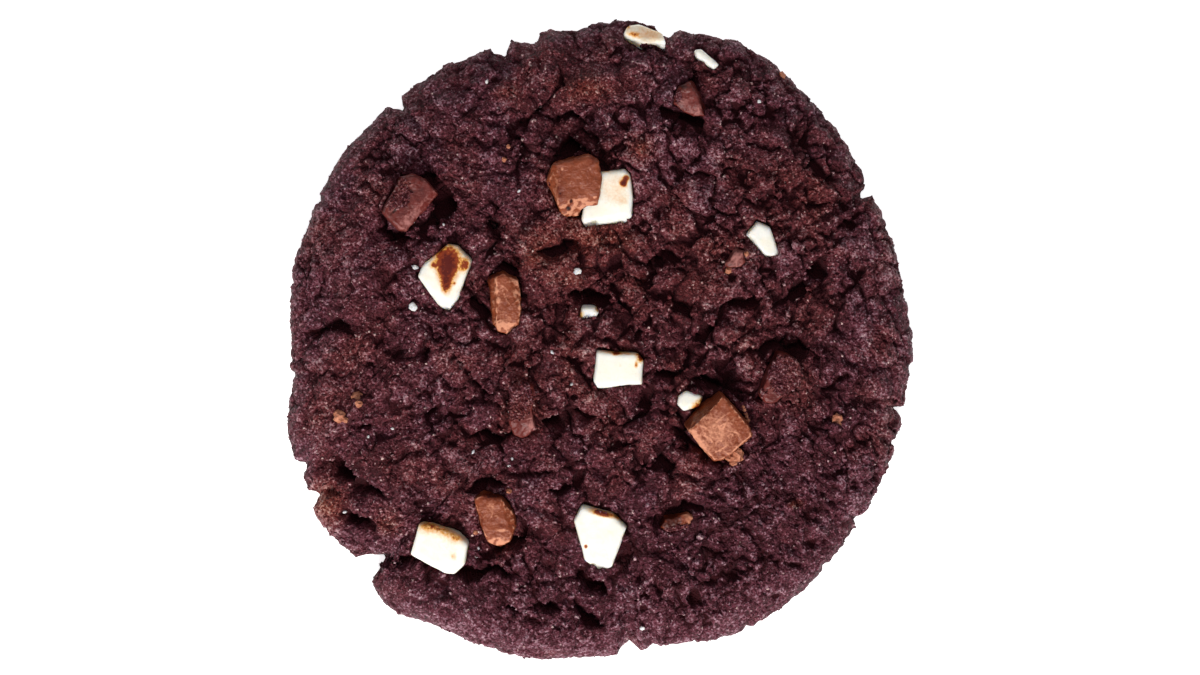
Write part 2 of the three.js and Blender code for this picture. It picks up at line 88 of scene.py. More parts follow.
# Cracks in the crust: [x and y of each end, bow to the left, width, depth]
CRACKS = [
    [-6, 44, -14.4, 33.7, 1.9, 1.0, 2.2], [-14.4, 33.7, -12.5, 26.4, 1.6, 1.1, 2.2],
    [-9.1, 36.1, -2.1, 34.2, 0.3, 0.8, 1.6], [33.8, 36.3, 38.1, 25.7, -2.3, 1.0, 2.2],
    [-47.2, 0.4, -38.8, 1.4, 1.3, 1.2, 2.2], [37, 13.7, 28.4, 6, 0.8, 1.3, 2.4],
    [42.5, 11.9, 38.1, 7.1, 0.4, 0.9, 1.8], [42.8, 20.3, 38.8, 18, -0.3, 1.0, 1.8],
    [33.3, 24.4, 37.5, 21.2, -1.1, 0.8, 1.6], [38.1, 6.3, 39.6, 0.7, -1, 0.8, 1.6],
    [25.8, 6.5, 16, -0.9, -1.7, 1.2, 2.4], [16, -0.9, 9, -6.3, 0.9, 1.1, 2.2],
    [9, -6.3, 3.7, -14.2, 0.7, 1.0, 2.0], [13.9, 13.9, 6.4, 8.6, -1.2, 0.9, 1.8],
    [13.6, 11, 14.6, 0.9, -0.7, 0.9, 1.8], [7.9, 4.6, 6.3, 0.2, 0.2, 0.8, 1.5],
    [-2.7, 15.1, -9.6, 13.7, -0.4, 0.9, 1.8], [-17.1, 22.2, -18.4, 12.6, 1.5, 1.2, 2.2],
    [-4.4, 6.4, 1.7, 5.8, 0.9, 1.5, 2.6], [-4.3, 6.2, -6.5, 1.8, -0.5, 1.0, 2.0],
    [-28, 0.1, -28, -3.9, 0.6, 0.8, 1.5], [-6.3, -3.1, -1, -7.9, 1.5, 1.0, 1.8],
    [-18.9, -5.4, -18.4, -10, -0.7, 0.8, 1.5], [-1.9, -11.8, -10.1, -15.5, -1.1, 1.1, 2.0],
    [-10.1, -15.5, -21, -16.7, -1.1, 1.1, 2.0], [40.4, -5.8, 35.6, -8.1, 0.2, 0.9, 1.6],
    [10.3, -16.4, 11.9, -21.7, -0.9, 1.0, 1.8], [1.4, -16.7, 6.9, -15.5, 0.2, 0.8, 1.5],
    [-1.8, -21.6, -8, -24.1, 0.4, 0.9, 1.6], [-35.4, -35.1, -24.2, -38.9, 1.0, 1.6, 2.6],
    [-25.2, -39.2, -12.8, -37.6, 1.5, 1.4, 2.6], [-2.6, -36.4, 1.1, -40.9, -1.1, 1.4, 2.4],
    [-3.4, -41.4, 0, -46.6, 0.3, 1.6, 2.6], [-11.7, -42.7, -5.1, -41.9, -0.6, 1.0, 1.8],
    [-41.8, -28, -36.2, -30.7, 0.7, 1.3, 2.2], [38.5, 22.2, 38.5, 20.6, 0, 0.7, 1.4],
    [34.8, 17.4, 37.5, 18.8, -1.4, 0.7, 1.4], [26.1, 22.5, 29.5, 25.1, -2.2, 0.7, 1.4],
    [1.7, 8.2, 5.0, 3.8, 0.6, 1.1, 2.2], [-2.2, 15.6, -2.6, 11.8, 0, 0.7, 1.2],
    [-14.1, 15.9, -13.5, 11.8, 0, 0.7, 1.4], [-31.1, -1.2, -32.7, -2.5, 0, 0.7, 1.2],
    [-25, -10, -27.4, -12.3, 0, 0.7, 1.4], [-35.7, -13.4, -38.8, -15, 0, 0.7, 1.2],
    [-14.7, -3.6, -9.8, -3.6, 0.3, 0.8, 1.4], [7.5, -17.7, 7.1, -23, 0, 0.7, 1.4],
    [-31.1, -36, -24.5, -40.1, 0.5, 0.8, 1.6], [-17.1, -32.9, -19.2, -36.8, 0, 0.8, 1.4],
    [4.5, -32.6, 2.1, -39, 0.4, 0.8, 1.6], [-14.7, -42.4, -12.8, -43.4, 0, 0.8, 1.4],
    [-7.1, -44.2, -11.7, -44.8, 0.5, 0.8, 1.4], [-44.6, -20.0, -40.6, -22.2, 0.4, 2.0, 2.6],
    [-40.2, -22.4, -34.6, -25.0, -0.5, 1.2, 1.8],
]

# Gaps beside the chunks, where the dough drew back as it baked, painted nearly black as their
# shade by the crumb's material: the same seven values
CHUNK_GAPS = [
    [-8, 26.6, 1.4, 27, 3.6, 1.6, 3.0], [-17.6, 10.8, -18.2, 3.4, -1.2, 1.8, 2.8],
    [13.4, -8.2, 22.8, -9.2, 2.4, 2.0, 3.4], [12.6, -10.6, 17.6, -18.8, -1.4, 1.5, 2.6],
    [-20.9, -24, -14.9, -23.2, 0.6, 1.3, 2.4], [-12.6, -28.6, -16, -33.6, 1.2, 1.5, 2.6],
    [8.4, -29.8, 16.4, -27, 1.6, 1.2, 2.2], [-28.6, 26.2, -28, 17.6, 3.4, 2.0, 3.0],
    [-35, 19.9, -31, 15.7, -0.3, 1.3, 2.2], [10, 37.4, 17, 34.8, -0.8, 1.4, 2.4],
    [25.8, -10.4, 26.4, -1, -1.2, 1.8, 2.8], [25.2, -2.2, 34.8, -3.6, 2.2, 1.4, 2.4],
    [-14.8, -8.4, -13, -14.4, -0.4, 1.0, 1.8], [16.2, -17.4, 19.7, -19.6, -0.8, 0.9, 1.6],
    [-17.1, 10.3, -12.8, 10, 1.3, 1.0, 2.0], [15.2, 41.6, 17.6, 36.1, 0, 0.8, 1.6],
]

# Pits in the crust: [x, y, half length, half width, turn in degrees, depth]
PITS = [
    [-16.8, 41.6, 0.9, 0.7, 0, 1.0], [-21.5, 33.1, 0.8, 0.6, 20, 0.9], [21.9, 37.2, 1.6, 0.7, -30, 1.1],
    [26.8, 40.3, 0.8, 0.6, 0, 0.9], [15.3, -41.2, 1.2, 0.9, -25, 1.5], [11.4, -41.3, 1.0, 0.5, -25, 1.0],
    [7.1, -42.9, 0.9, 0.8, 0, 1.1], [34.1, -32.6, 1.0, 0.6, 20, 1.2], [36.1, -32.4, 0.7, 0.4, 0, 0.9],
    [31.4, -36.1, 1.8, 0.5, -5, 1.2], [28.4, -41.4, 1.0, 0.6, 15, 1.1], [41.0, -23.6, 1.2, 0.5, 0, 0.9],
    [38.5, -20.9, 0.9, 0.5, 10, 1.0], [36.3, -21.8, 0.8, 0.5, 0, 0.8], [-34.9, 7.0, 1.1, 0.5, 0, 0.9],
    [-30.2, 12.8, 0.5, 1.5, 0, 0.9], [-38.6, -22.8, 1.4, 0.7, -20, 1.2],
]


def hashed(cells, seed):
    """Three random numbers from 0 to 1 for each cell of a grid."""
    key = (cells[..., 0] * 73856093) ^ (cells[..., 1] * 19349663) ^ (cells[..., 2] * 83492791)
    key = (key ^ (seed * 2654435761)) & 0xFFFFFFFF
    found = []
    for turn in range(3):
        key = ((key ^ (key >> 15)) * 2246822519) & 0xFFFFFFFF
        key = ((key ^ (key >> 13)) * 3266489917) & 0xFFFFFFFF
        found.append((key ^ (key >> 16)) / 4294967296)
        key = (key + 374761393 * (turn + 1)) & 0xFFFFFFFF
    return np.stack(found, axis=-1)


def swirls(points, spacing, seed):
    """Smooth noise from about -1 to 1 whose blobs lie a spacing apart."""
    place = points / spacing
    cell = np.floor(place).astype(np.int64)
    part = place - cell
    ease = part**3 * (part * (part * 6 - 15) + 10)
    total = np.zeros(len(points))
    for corner in np.ndindex(2, 2, 2):
        slope = hashed(cell + corner, seed) * 2 - 1
        weight = np.prod(np.where(corner, ease, 1 - ease), axis=-1)
        total += weight * ((part - corner) * slope).sum(-1)
    return total * 1.9


def cells(points, spacing, seed):
    """Splits space into uneven cells a spacing wide. Gives each point's distance from the border of
    its cell in mm, less than 0 on one side of each border, and its cell's own number from 0 to 1."""
    place = points / spacing
    cell = np.floor(place).astype(np.int64)
    nearest = np.full(len(points), 9.0)
    second = np.full(len(points), 9.0)
    to_nearest = np.zeros_like(points)
    to_second = np.ones_like(points)
    own = np.zeros(len(points))
    other = np.zeros(len(points))
    for step in np.ndindex(3, 3, 3):
        around = cell + (np.array(step) - 1)
        random = hashed(around, seed)
        towards = around + random - place
        away = np.linalg.norm(towards, axis=-1)
        first = away < nearest
        next_one = ~first & (away < second)
        to_second = np.where(first[:, None], to_nearest, np.where(next_one[:, None], towards, to_second))
        second = np.where(first, nearest, np.where(next_one, away, second))
        other = np.where(first, own, np.where(next_one, random[:, 0], other))
        to_nearest = np.where(first[:, None], towards, to_nearest)
        nearest = np.where(first, away, nearest)
        own = np.where(first, random[:, 0], own)
    apart = np.linalg.norm(to_second - to_nearest, axis=-1)
    border = (second**2 - nearest**2) / (2 * np.maximum(apart, 0.05)) * spacing
    return np.where(own > other, border, -border), own


def outline_radius(angle):
    """Radius of the dough's outline, before the notches."""
    radius = DOUGH_RADIUS + 0.15 * (np.sin(11 * angle + 0.8) + np.sin(17 * angle + 2.1))
    for centre, width, rise in SWELLS:
        away = (np.degrees(angle) - centre + 180) % 360 - 180
        radius = radius + rise * np.exp(-((away / width) ** 2))
    return radius


def rim_radius(angle):
    """Radius of the rim with its notches."""
    outline = outline_radius(angle)
    rim = outline.copy()
    for degrees, mouth, depth, lean in NOTCHES:
        along = np.radians((np.degrees(angle) - degrees + 180) % 360 - 180) * outline
        rise = (along + mouth / 2) / (lean + mouth / 2)
        fall = (mouth / 2 - along) / (mouth / 2 - lean)
        rim -= depth * np.clip(np.minimum(rise, fall), 0, 1) ** 0.8
    return rim


def spread(x, y, places):
    """Sum of soft spots, each [x, y, half length, half width, turn, rise]."""
    total = np.zeros(len(x))
    for cx, cy, length, width, turn, rise in places:
        a = np.radians(turn)
        along = ((x - cx) * np.cos(a) + (y - cy) * np.sin(a)) / length
        across = ((y - cy) * np.cos(a) - (x - cx) * np.sin(a)) / width
        total += rise * np.exp(-(along**2 + across**2))
    return total


def crust_height(x, y):
    """Height of the smooth top: a low dome with lumps about 15 mm apart, which rolls over at the rim."""
    share = np.minimum(1, np.hypot(x, y) / rim_radius(np.arctan2(y, x)))
    roll = (1 - share**RIM_ROLL) ** RIM_ROLL_POWER
    turns = 2 * np.pi / 15
    bends = 2 * np.pi / 29
    bent_x = turns * x + 1.35 * np.sin(bends * y)
    bent_y = turns * y + 1.35 * np.sin(bends * x)
    lumps = 0.55 * np.sin(bent_x) * np.cos(bent_y) + 0.42 * np.cos(2.2 * bent_x) * np.cos(2.2 * bent_y)
    dome = MIDDLE_HEIGHT - FALL_TO_RIM * share**2 - WIDEST_HEIGHT
    return WIDEST_HEIGHT + roll * (dome + lumps + spread(x, y, LUMPS))


def crack_depth(x, y, cracks):
    """Ragged cracks: their depth at each point, how far inside a crack the point lies, less than 0
    outside, and how far the crust rolls down into it, all in mm."""
    depth = np.zeros(len(x))
    inside = np.full(len(x), -2.0)
    roll = np.zeros(len(x))
    flat = np.stack([x, y, np.zeros(len(x))], axis=-1)
    ragged_x = x + 0.5 * swirls(flat, 1.9, 21) + 0.3 * swirls(flat, 0.8, 22)
    ragged_y = y + 0.5 * swirls(flat, 1.9, 23) + 0.3 * swirls(flat, 0.8, 24)
    pinch = np.clip(1.1 + 0.6 * swirls(flat, 2.2, 25), 0.45, 1.7)
    for x0, y0, x1, y1, bow, width, deep in cracks:
        length = np.hypot(x1 - x0, y1 - y0)
        t = np.linspace(0, 1, max(4, int(length / 0.3)))
        swell = np.sin(np.pi * t)
        jag = 0.45 * np.sin(5.5 * t * length / 6 + x0) * np.minimum(1, 4 * swell)
        line_x = x0 + (x1 - x0) * t - (y1 - y0) / length * (bow * swell + jag)
        line_y = y0 + (y1 - y0) * t + (x1 - x0) / length * (bow * swell + jag)
        size = 0.35 + 0.65 * swell**0.6
        reach = 3
        near = np.nonzero(
            (ragged_x > line_x.min() - reach) & (ragged_x < line_x.max() + reach)
            & (ragged_y > line_y.min() - reach) & (ragged_y < line_y.max() + reach)
        )[0]
        away = np.hypot(ragged_x[near, None] - line_x, ragged_y[near, None] - line_y)
        within = 0.5 * width * size * pinch[near, None] - away
        wall = np.clip(within / 0.35 + 0.6, 0, 1)
        depth[near] = np.maximum(depth[near], (deep * size * wall).max(axis=1))
        inside[near] = np.maximum(inside[near], within.max(axis=1))
        slope = 0.36 * deep * size * np.exp(-((away / 1.7) ** 2))
        roll[near] = np.maximum(roll[near], slope.max(axis=1))
    return depth, inside, roll


def footprint(node):
    """The corners of a chunk's outline seen from above, in mm, counter-clockwise."""
    flat = [(v.co.x / MM, v.co.y / MM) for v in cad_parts[node].data.vertices]
    corners = np.array([flat[i] for i in geometry.convex_hull_2d(flat)])
    apart = np.linalg.norm(np.roll(corners, -1, axis=0) - corners, axis=1) > 0.02
    return corners[apart]


def outside(x, y, corners):
    """Distance of each point outside a chunk's outline, negative within it."""
    edges = np.roll(corners, -1, axis=0) - corners
    normals = np.stack([edges[:, 1], -edges[:, 0]], axis=-1)
    normals /= np.linalg.norm(normals, axis=1, keepdims=True)
    turning = np.sign(edges[0, 0] * edges[1, 1] - edges[0, 1] * edges[1, 0])
    return (((x[:, None] - corners[:, 0]) * normals[:, 0]
             + (y[:, None] - corners[:, 1]) * normals[:, 1]) * turning).max(axis=1)


CHUNKS = sorted(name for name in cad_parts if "_chunk_" in name)
FOOTPRINTS = {name: footprint(name) for name in CHUNKS}


def pocket_depth(x, y):
    """The pockets that the chunks lie in, a little wider on the far side, so that more of the
    painted shade that darkens them lies there: their depth, and how far inside one a point lies."""
    flat = np.stack([x, y, np.zeros(len(x))], axis=-1)
    margin = 0.1 + 0.42 * swirls(flat, 1.6, 31)
    inside = np.full(len(x), -2.0)
    for name in CHUNKS:
        inside = np.maximum(inside, margin - outside(x, y - 0.12, FOOTPRINTS[name]))
    return 2.2 * np.clip(inside / 0.6, 0, 1) ** 0.6, inside


def rings_of_skin():
    """The rings of the dough's skin from the middle of the top to the middle of the base,
    each as [number of points, share of the radius, inset, height or None for the top]."""
    share = np.linspace(0, 1, 6001)
    roll = (1 - share**RIM_ROLL) ** RIM_ROLL_POWER
    height = WIDEST_HEIGHT + roll * (MIDDLE_HEIGHT - FALL_TO_RIM * share**2 - WIDEST_HEIGHT)
    run = np.concatenate([[0], np.cumsum(np.hypot(np.diff(share) * DOUGH_RADIUS, np.diff(height)))])
    steps = round(run[-1] / CRUST_STEP)
    rings = []
    for at in np.interp(np.linspace(0, run[-1], steps + 1), run, share):
        count = max(1, 6 * round(2 * np.pi * at * DOUGH_RADIUS / CRUST_STEP / 6))
        rings.append([count, at, 0.0, None])
    around = rings[-1][0]
    side = round(WIDEST_HEIGHT / CRUST_STEP)
    for level in np.linspace(1, 0, side + 1)[1:]:
        rings.append([around, 1.0, BASE_INSET * (1 - level) ** 2, level * WIDEST_HEIGHT])
    count = around
    reach = DOUGH_RADIUS - BASE_INSET
    for k in range(1, SEAM_STEPS + 1):
        step = CRUST_STEP * (BASE_STEP / CRUST_STEP) ** (k / SEAM_STEPS)
        reach -= step
        count = 6 * round(2 * np.pi * reach / step / 6)
        rings.append([count, reach / DOUGH_RADIUS, 0.0, 0.0])
    for at in np.linspace(reach, 0, round(reach / BASE_STEP) + 1)[1:]:
        count = max(1, 6 * round(2 * np.pi * at / BASE_STEP / 6))
        rings.append([count, at / DOUGH_RADIUS, 0.0, 0.0])
    return rings


def stitched(first, second, start, following):
    """Triangles between two rings."""
    triangles = []
    i = j = 0
    while i < first or j < second:
        a = start + i % first
        b = following + j % second
        next_first = (i + 1) / first if first > 1 else 9
        next_second = (j + 1) / second if second > 1 else 9
        if next_second <= next_first and j < second:
            triangles.append((a, b, following + (j + 1) % second))
            j += 1
        elif i < first and first > 1:
            triangles.append((a, b, start + (i + 1) % first))
            i += 1
        else:
            break
    return triangles


def normals_of(points, triangles):
    """Smooth normals of a mesh's points."""
    a, b, c = points[triangles[:, 0]], points[triangles[:, 1]], points[triangles[:, 2]]
    facing = np.cross(b - a, c - a)
    total = np.zeros_like(points)
    for corner in range(3):
        for axis in range(3):
            total[:, axis] += np.bincount(triangles[:, corner], facing[:, axis], len(points))
    return total / np.maximum(np.linalg.norm(total, axis=1, keepdims=True), 1e-12)


def skin():
    """The smooth skin of the dough in mm: its points, its triangles, and what each point is on."""
    points = []
    triangles = []
    part = []
    start = 0
    rings = rings_of_skin()
    for k, (count, share, inset, height) in enumerate(rings):
        phase = 2 * np.pi * ((k * 0.618) % 1) / count
        angle = 2 * np.pi * np.arange(count) / count + phase
        radius = share * rim_radius(angle) - inset
        reach = share * DOUGH_RADIUS - inset
        if height == 0:
            # each ring of the base stays within the one before it, so the notches fill up inwards
            turns = angle + 2 * np.pi / count * np.linspace(-1, 1, 9)[:, None]
            wider = np.interp(turns, last_angle, last_radius, period=2 * np.pi).min(axis=0)
            radius = np.maximum(0, np.minimum(radius, wider - 0.35 * (last_reach - reach)))
        last_angle, last_radius, last_reach = angle, radius, reach
        x, y = radius * np.cos(angle), radius * np.sin(angle)
        z = crust_height(x, y) if height is None else np.full(count, height)
        points.append(np.stack([x, y, z], axis=-1))
        part.append(np.full(count, 0 if height is None else (1 if height > 0 else 2)))
        if k + 1 < len(rings):
            triangles += stitched(count, rings[k + 1][0], start, start + count)
        start += count
    return np.concatenate(points), np.array(triangles), np.concatenate(part)


def mesh_piece(name, points, triangles, smooth=True):
    """A piece that rides on the cookie, from points in mm."""
    mesh = bpy.data.meshes.new(name)
    mesh.vertices.add(len(points))
    mesh.vertices.foreach_set("co", (points * MM).astype(np.float32).ravel())
    mesh.loops.add(triangles.size)
    mesh.loops.foreach_set("vertex_index", triangles.astype(np.int32).ravel())
    mesh.polygons.add(len(triangles))
    mesh.polygons.foreach_set("loop_start", np.arange(0, triangles.size, 3, dtype=np.int32))
    mesh.polygons.foreach_set("use_smooth", np.full(len(triangles), smooth))
    mesh.update(calc_edges=True)
    piece = bpy.data.objects.new(name, mesh)
    bpy.context.scene.collection.objects.link(piece)
    return piece


def note(piece, name, values):
    """Stores a number for each point of a piece, which its material reads."""
    layer = piece.data.attributes.new(name, "FLOAT", "POINT")
    layer.data.foreach_set("value", values.astype(np.float32))


CRUMB_SIZES = ("plate", "crumb", "knob")


def note_crumb(piece, redness, tone, inside=None, seams=None):
    """Stores all that the dough's material reads. A grain has no gaps of its own."""
    count = len(piece.data.vertices)
    note(piece, "redness", redness)
    note(piece, "tone", tone)
    note(piece, "inside", np.full(count, -1.0) if inside is None else inside)
    for k, size in enumerate(CRUMB_SIZES):
        note(piece, size + "_seam", np.zeros(count) if seams is None else seams[2 * k])
        note(piece, size + "_gap", np.full(count, -1.0) if seams is None else seams[2 * k + 1])


# Where the crust broke up as it baked, into plates and into crumbs, and where it stayed smooth over
# a chunk that lies just below (less than 0): [x, y, half length, half width, turn in degrees, amount]
PLATED = [
    [30, 22, 20, 20, 45, 0.5], [8, 36, 24, 9, 0, 0.45], [0, 6, 24, 18, 0, 0.6], [-20, -12, 16, 12, 0, 0.5],
    [24, -16, 22, 14, 15, 0.5], [-14, -32, 12, 8, 0, 0.5], [10, -38, 24, 7, 10, 0.3],
    [-36, 28, 10, 8, 45, 0.3], [-1.9, 39.8, 6.0, 2.9, 0, -0.7], [6.7, 30.2, 2.6, 2.9, 0, -0.5],
    [-8, 12.6, 5.0, 3.6, 0, -0.5], [-41, -28, 4.5, 2.5, -10, -0.6], [16, 9, 4.0, 3.0, 0, -0.3],
]
CRUMBLY = [
    [20, -33, 26, 14, 17, 0.8], [26, -2, 14, 12, 0, 0.35], [0, 0, 20, 20, 0, 0.3], [-5, 38, 16, 8, 0, 0.35],
    [-20, -14, 14, 12, 0, 0.35], [-42, -22, 7, 5, 0, 0.8], [-15, -43, 20, 6, -15, 0.4],
    [40, -12, 8, 20, 15, 0.35], [-1.9, 39.8, 6.0, 2.9, 0, -0.6], [6.7, 30.2, 2.6, 2.9, 0, -0.4],
    [-41, -28, 4.5, 2.5, -10, -0.7],
]
# Where the crust dried palest: the same six values
DRIED = [
    [-44.2, -24.8, 1.8, 3.2, -10, 0.35], [-42.5, -30.5, 3.0, 2.0, -40, 0.3],
    [-32.5, -29.5, 2.5, 1.4, 0, 0.2], [0, -48, 34, 6, 0, 0.12], [44, 8, 5, 26, 0, 0.08],
]
# Where crumbs lie in rows, as the dough stretched: the same six values
CREASED = [[19, -36, 19, 11, 17, 1.0], [-20, -46, 12, 5, -15, 0.7]]


def crumb_relief(points, part):
    """How far the crumb stands out of the smooth skin at each point, how far inside the gap between
    two crumbs the point lies, and for each size of crumb the signed distance from the seam between
    two of them and half of the seam's width, all in mm. Plates are 5.4 mm wide, crumbs 2.7 mm and
    knobs 1.3 mm. The rim is calmer, and the tray kept the base flat."""
    x, y, z = points.T
    share = np.hypot(x, y) / rim_radius(np.arctan2(y, x))
    calm = 1 - 0.55 * np.clip((share - 0.88) / 0.08, 0, 1)
    warp = np.stack([swirls(points, 3.1, seed) for seed in (41, 42, 43)], axis=-1)
    fine_warp = np.stack([swirls(points, 1.1, seed) for seed in (52, 53, 54)], axis=-1)
    bent = points + 1.1 * warp + 0.5 * fine_warp
    a = np.radians(17)
    along = bent[:, 0] * np.cos(a) + bent[:, 1] * np.sin(a)
    across = bent[:, 1] * np.cos(a) - bent[:, 0] * np.sin(a)
    creased = np.clip(spread(x, y, CREASED), 0, 1)[:, None]
    rows = np.stack([along * 0.62, across * 1.35, bent[:, 2]], axis=-1)
    laid = bent * (1 - creased) + rows * creased

    inner = np.clip((0.96 - share) / 0.12, 0.25, 1)
    relief = inner * (0.4 * swirls(points, 9.5, 47) + 0.4 * swirls(points, 6.0, 44))
    relief += 0.24 * swirls(bent, 2.6, 45) + 0.12 * swirls(points, 0.9, 46)
    gap = np.full(len(points), -2.0)
    seams = []
    plated = (0.15 + spread(x, y, PLATED)) * calm
    crumbly = (0.1 + spread(x, y, CRUMBLY)) * calm
    for places, spacing, amount, patchy, half_width, wall, deep, bulge, offset, seed in (
        (bent, 5.4, 0.3 + plated, 0.45, 0.28, 0.36, 0.85, 0.66, 0.42, 61),
        (laid, 2.7, 0.02 + crumbly, 0.32, 0.2, 0.34, 0.45, 0.42, 0.22, 62),
        (laid, 1.3, 0.3 + 0.6 * crumbly, 0.4, 0.1, 0.3, 0.2, 0.3, 0.14, 63),
    ):
        seam, own = cells(places, spacing, seed)
        border = np.abs(seam)
        amount = np.clip(amount + patchy * swirls(points, 2.2 * spacing, seed + 10), 0, 1.1)
        opened = np.clip(0.85 + 0.7 * swirls(points, 0.8 * spacing, seed + 20)
                         + 0.4 * swirls(points, 0.9, seed + 30), 0, 1.6)
        half_gap = half_width * amount * opened - 0.03
        within = half_gap - border
        rounding = np.clip(1 - border / (0.32 * spacing), 0, 1) ** 2
        relief -= amount * bulge * (rounding - 0.25)
        relief += amount * offset * (own - 0.5) * np.clip(border / 0.5, 0, 1)
        relief -= deep * amount * np.clip(within / wall + 0.4, 0, 1)
        gap = np.maximum(gap, within)
        seams += [seam, np.where(border < 0.6, half_gap, -1)]
    relief += 0.12 * (hashed(np.round(points / 0.2).astype(np.int64), 49)[:, 0] - 0.5)
    relief *= np.where(part == 2, 0.0, 1.0) * np.where(part == 1, np.clip(z / 1.6, 0.15, 1), 1)
    return relief, gap, seams


# How much dough is left below the deepest crack, and how uneven the tray left the base
CRUMB_BELOW_CRACKS = 1.6
TRAY_MARKS = 0.12


def dough_mesh():
    """The dough's points and triangles, what each point is on, how far inside a crack, a pocket or a
    gap between crumbs it lies, in mm, the seams between its crumbs, and how pale its crust is: how
    dry, with painted shade that makes the low places darker and the raised ones paler."""
    points, triangles, part = skin()
    normals = normals_of(points, triangles)
    x, y, _ = points.T
    top = part == 0
    under = part == 2
    cracks = np.zeros(len(points))
    roll = np.zeros(len(points))
    pockets = np.zeros(len(points))
    relief, inside, seams = crumb_relief(points, part)
    cracks[top], in_crack, roll[top] = crack_depth(x[top], y[top], CRACKS + CHUNK_GAPS)
    pits = np.clip(spread(x[top], y[top], PITS), 0, 2)
    cracks[top] += pits
    pockets[top], in_pocket = pocket_depth(x[top], y[top])
    # cracks, pockets and pits count as gaps, which the crumb's material paints nearly black as their shade
    inside[top] = np.max([inside[top], in_crack, in_pocket - 0.2, pits - 0.6], axis=0)
    relief -= roll
    # painted shade and light: the tone falls in the low places and rises on the raised ones, beside the
    # spots that dried palest
    dryness_and_shade = 0.2 * np.clip(relief / 0.45, -1, 1) + spread(x, y, DRIED)
    moved = points + normals * (relief * np.clip(1 - pockets, 0.2, 1) - cracks)[:, None]
    moved[:, 2] -= np.maximum(pockets - cracks, 0)
    moved[:, 2] = np.maximum(moved[:, 2], np.where(top, CRUMB_BELOW_CRACKS, 0.0))
    moved[under, 2] = TRAY_MARKS * np.abs(swirls(points[under], 3.4, 51))
    # the tray kept the base whole, so no gap shows there
    for gap in [inside] + seams[1::2]:
        gap[under] = -1
    return moved, triangles, part, np.clip(inside, -1, 1), seams, dryness_and_shade


def paint(colour):
    """A colour such as 0x6B4A3F, an sRGB hex value, as the linear one that Blender wants."""
    parts = [((colour >> shift) & 255) / 255 for shift in (16, 8, 0)]
    return [p / 12.92 if p <= 0.04045 else ((p + 0.055) / 1.055) ** 2.4 for p in parts] + [1.0]


def add(tree, kind, inputs=(), **settings):
    """A shader node with its settings, and its sockets set to a value or linked to another node's
    output, the first one unless another is given."""
    made = tree.nodes.new("ShaderNode" + kind)
    for name, value in settings.items():
        setattr(made, name, value)
    for socket, value in dict(inputs).items():
        if isinstance(value, bpy.types.Node):
            value = value.outputs[0]
        if isinstance(value, bpy.types.NodeSocket):
            tree.links.new(value, made.inputs[socket])
        else:
            made.inputs[socket].default_value = value
    return made


def new_material(name):
    """An empty material and its tree."""
    material = bpy.data.materials.new(name)
    material.use_nodes = True
    material.node_tree.nodes.clear()
    return material, material.node_tree


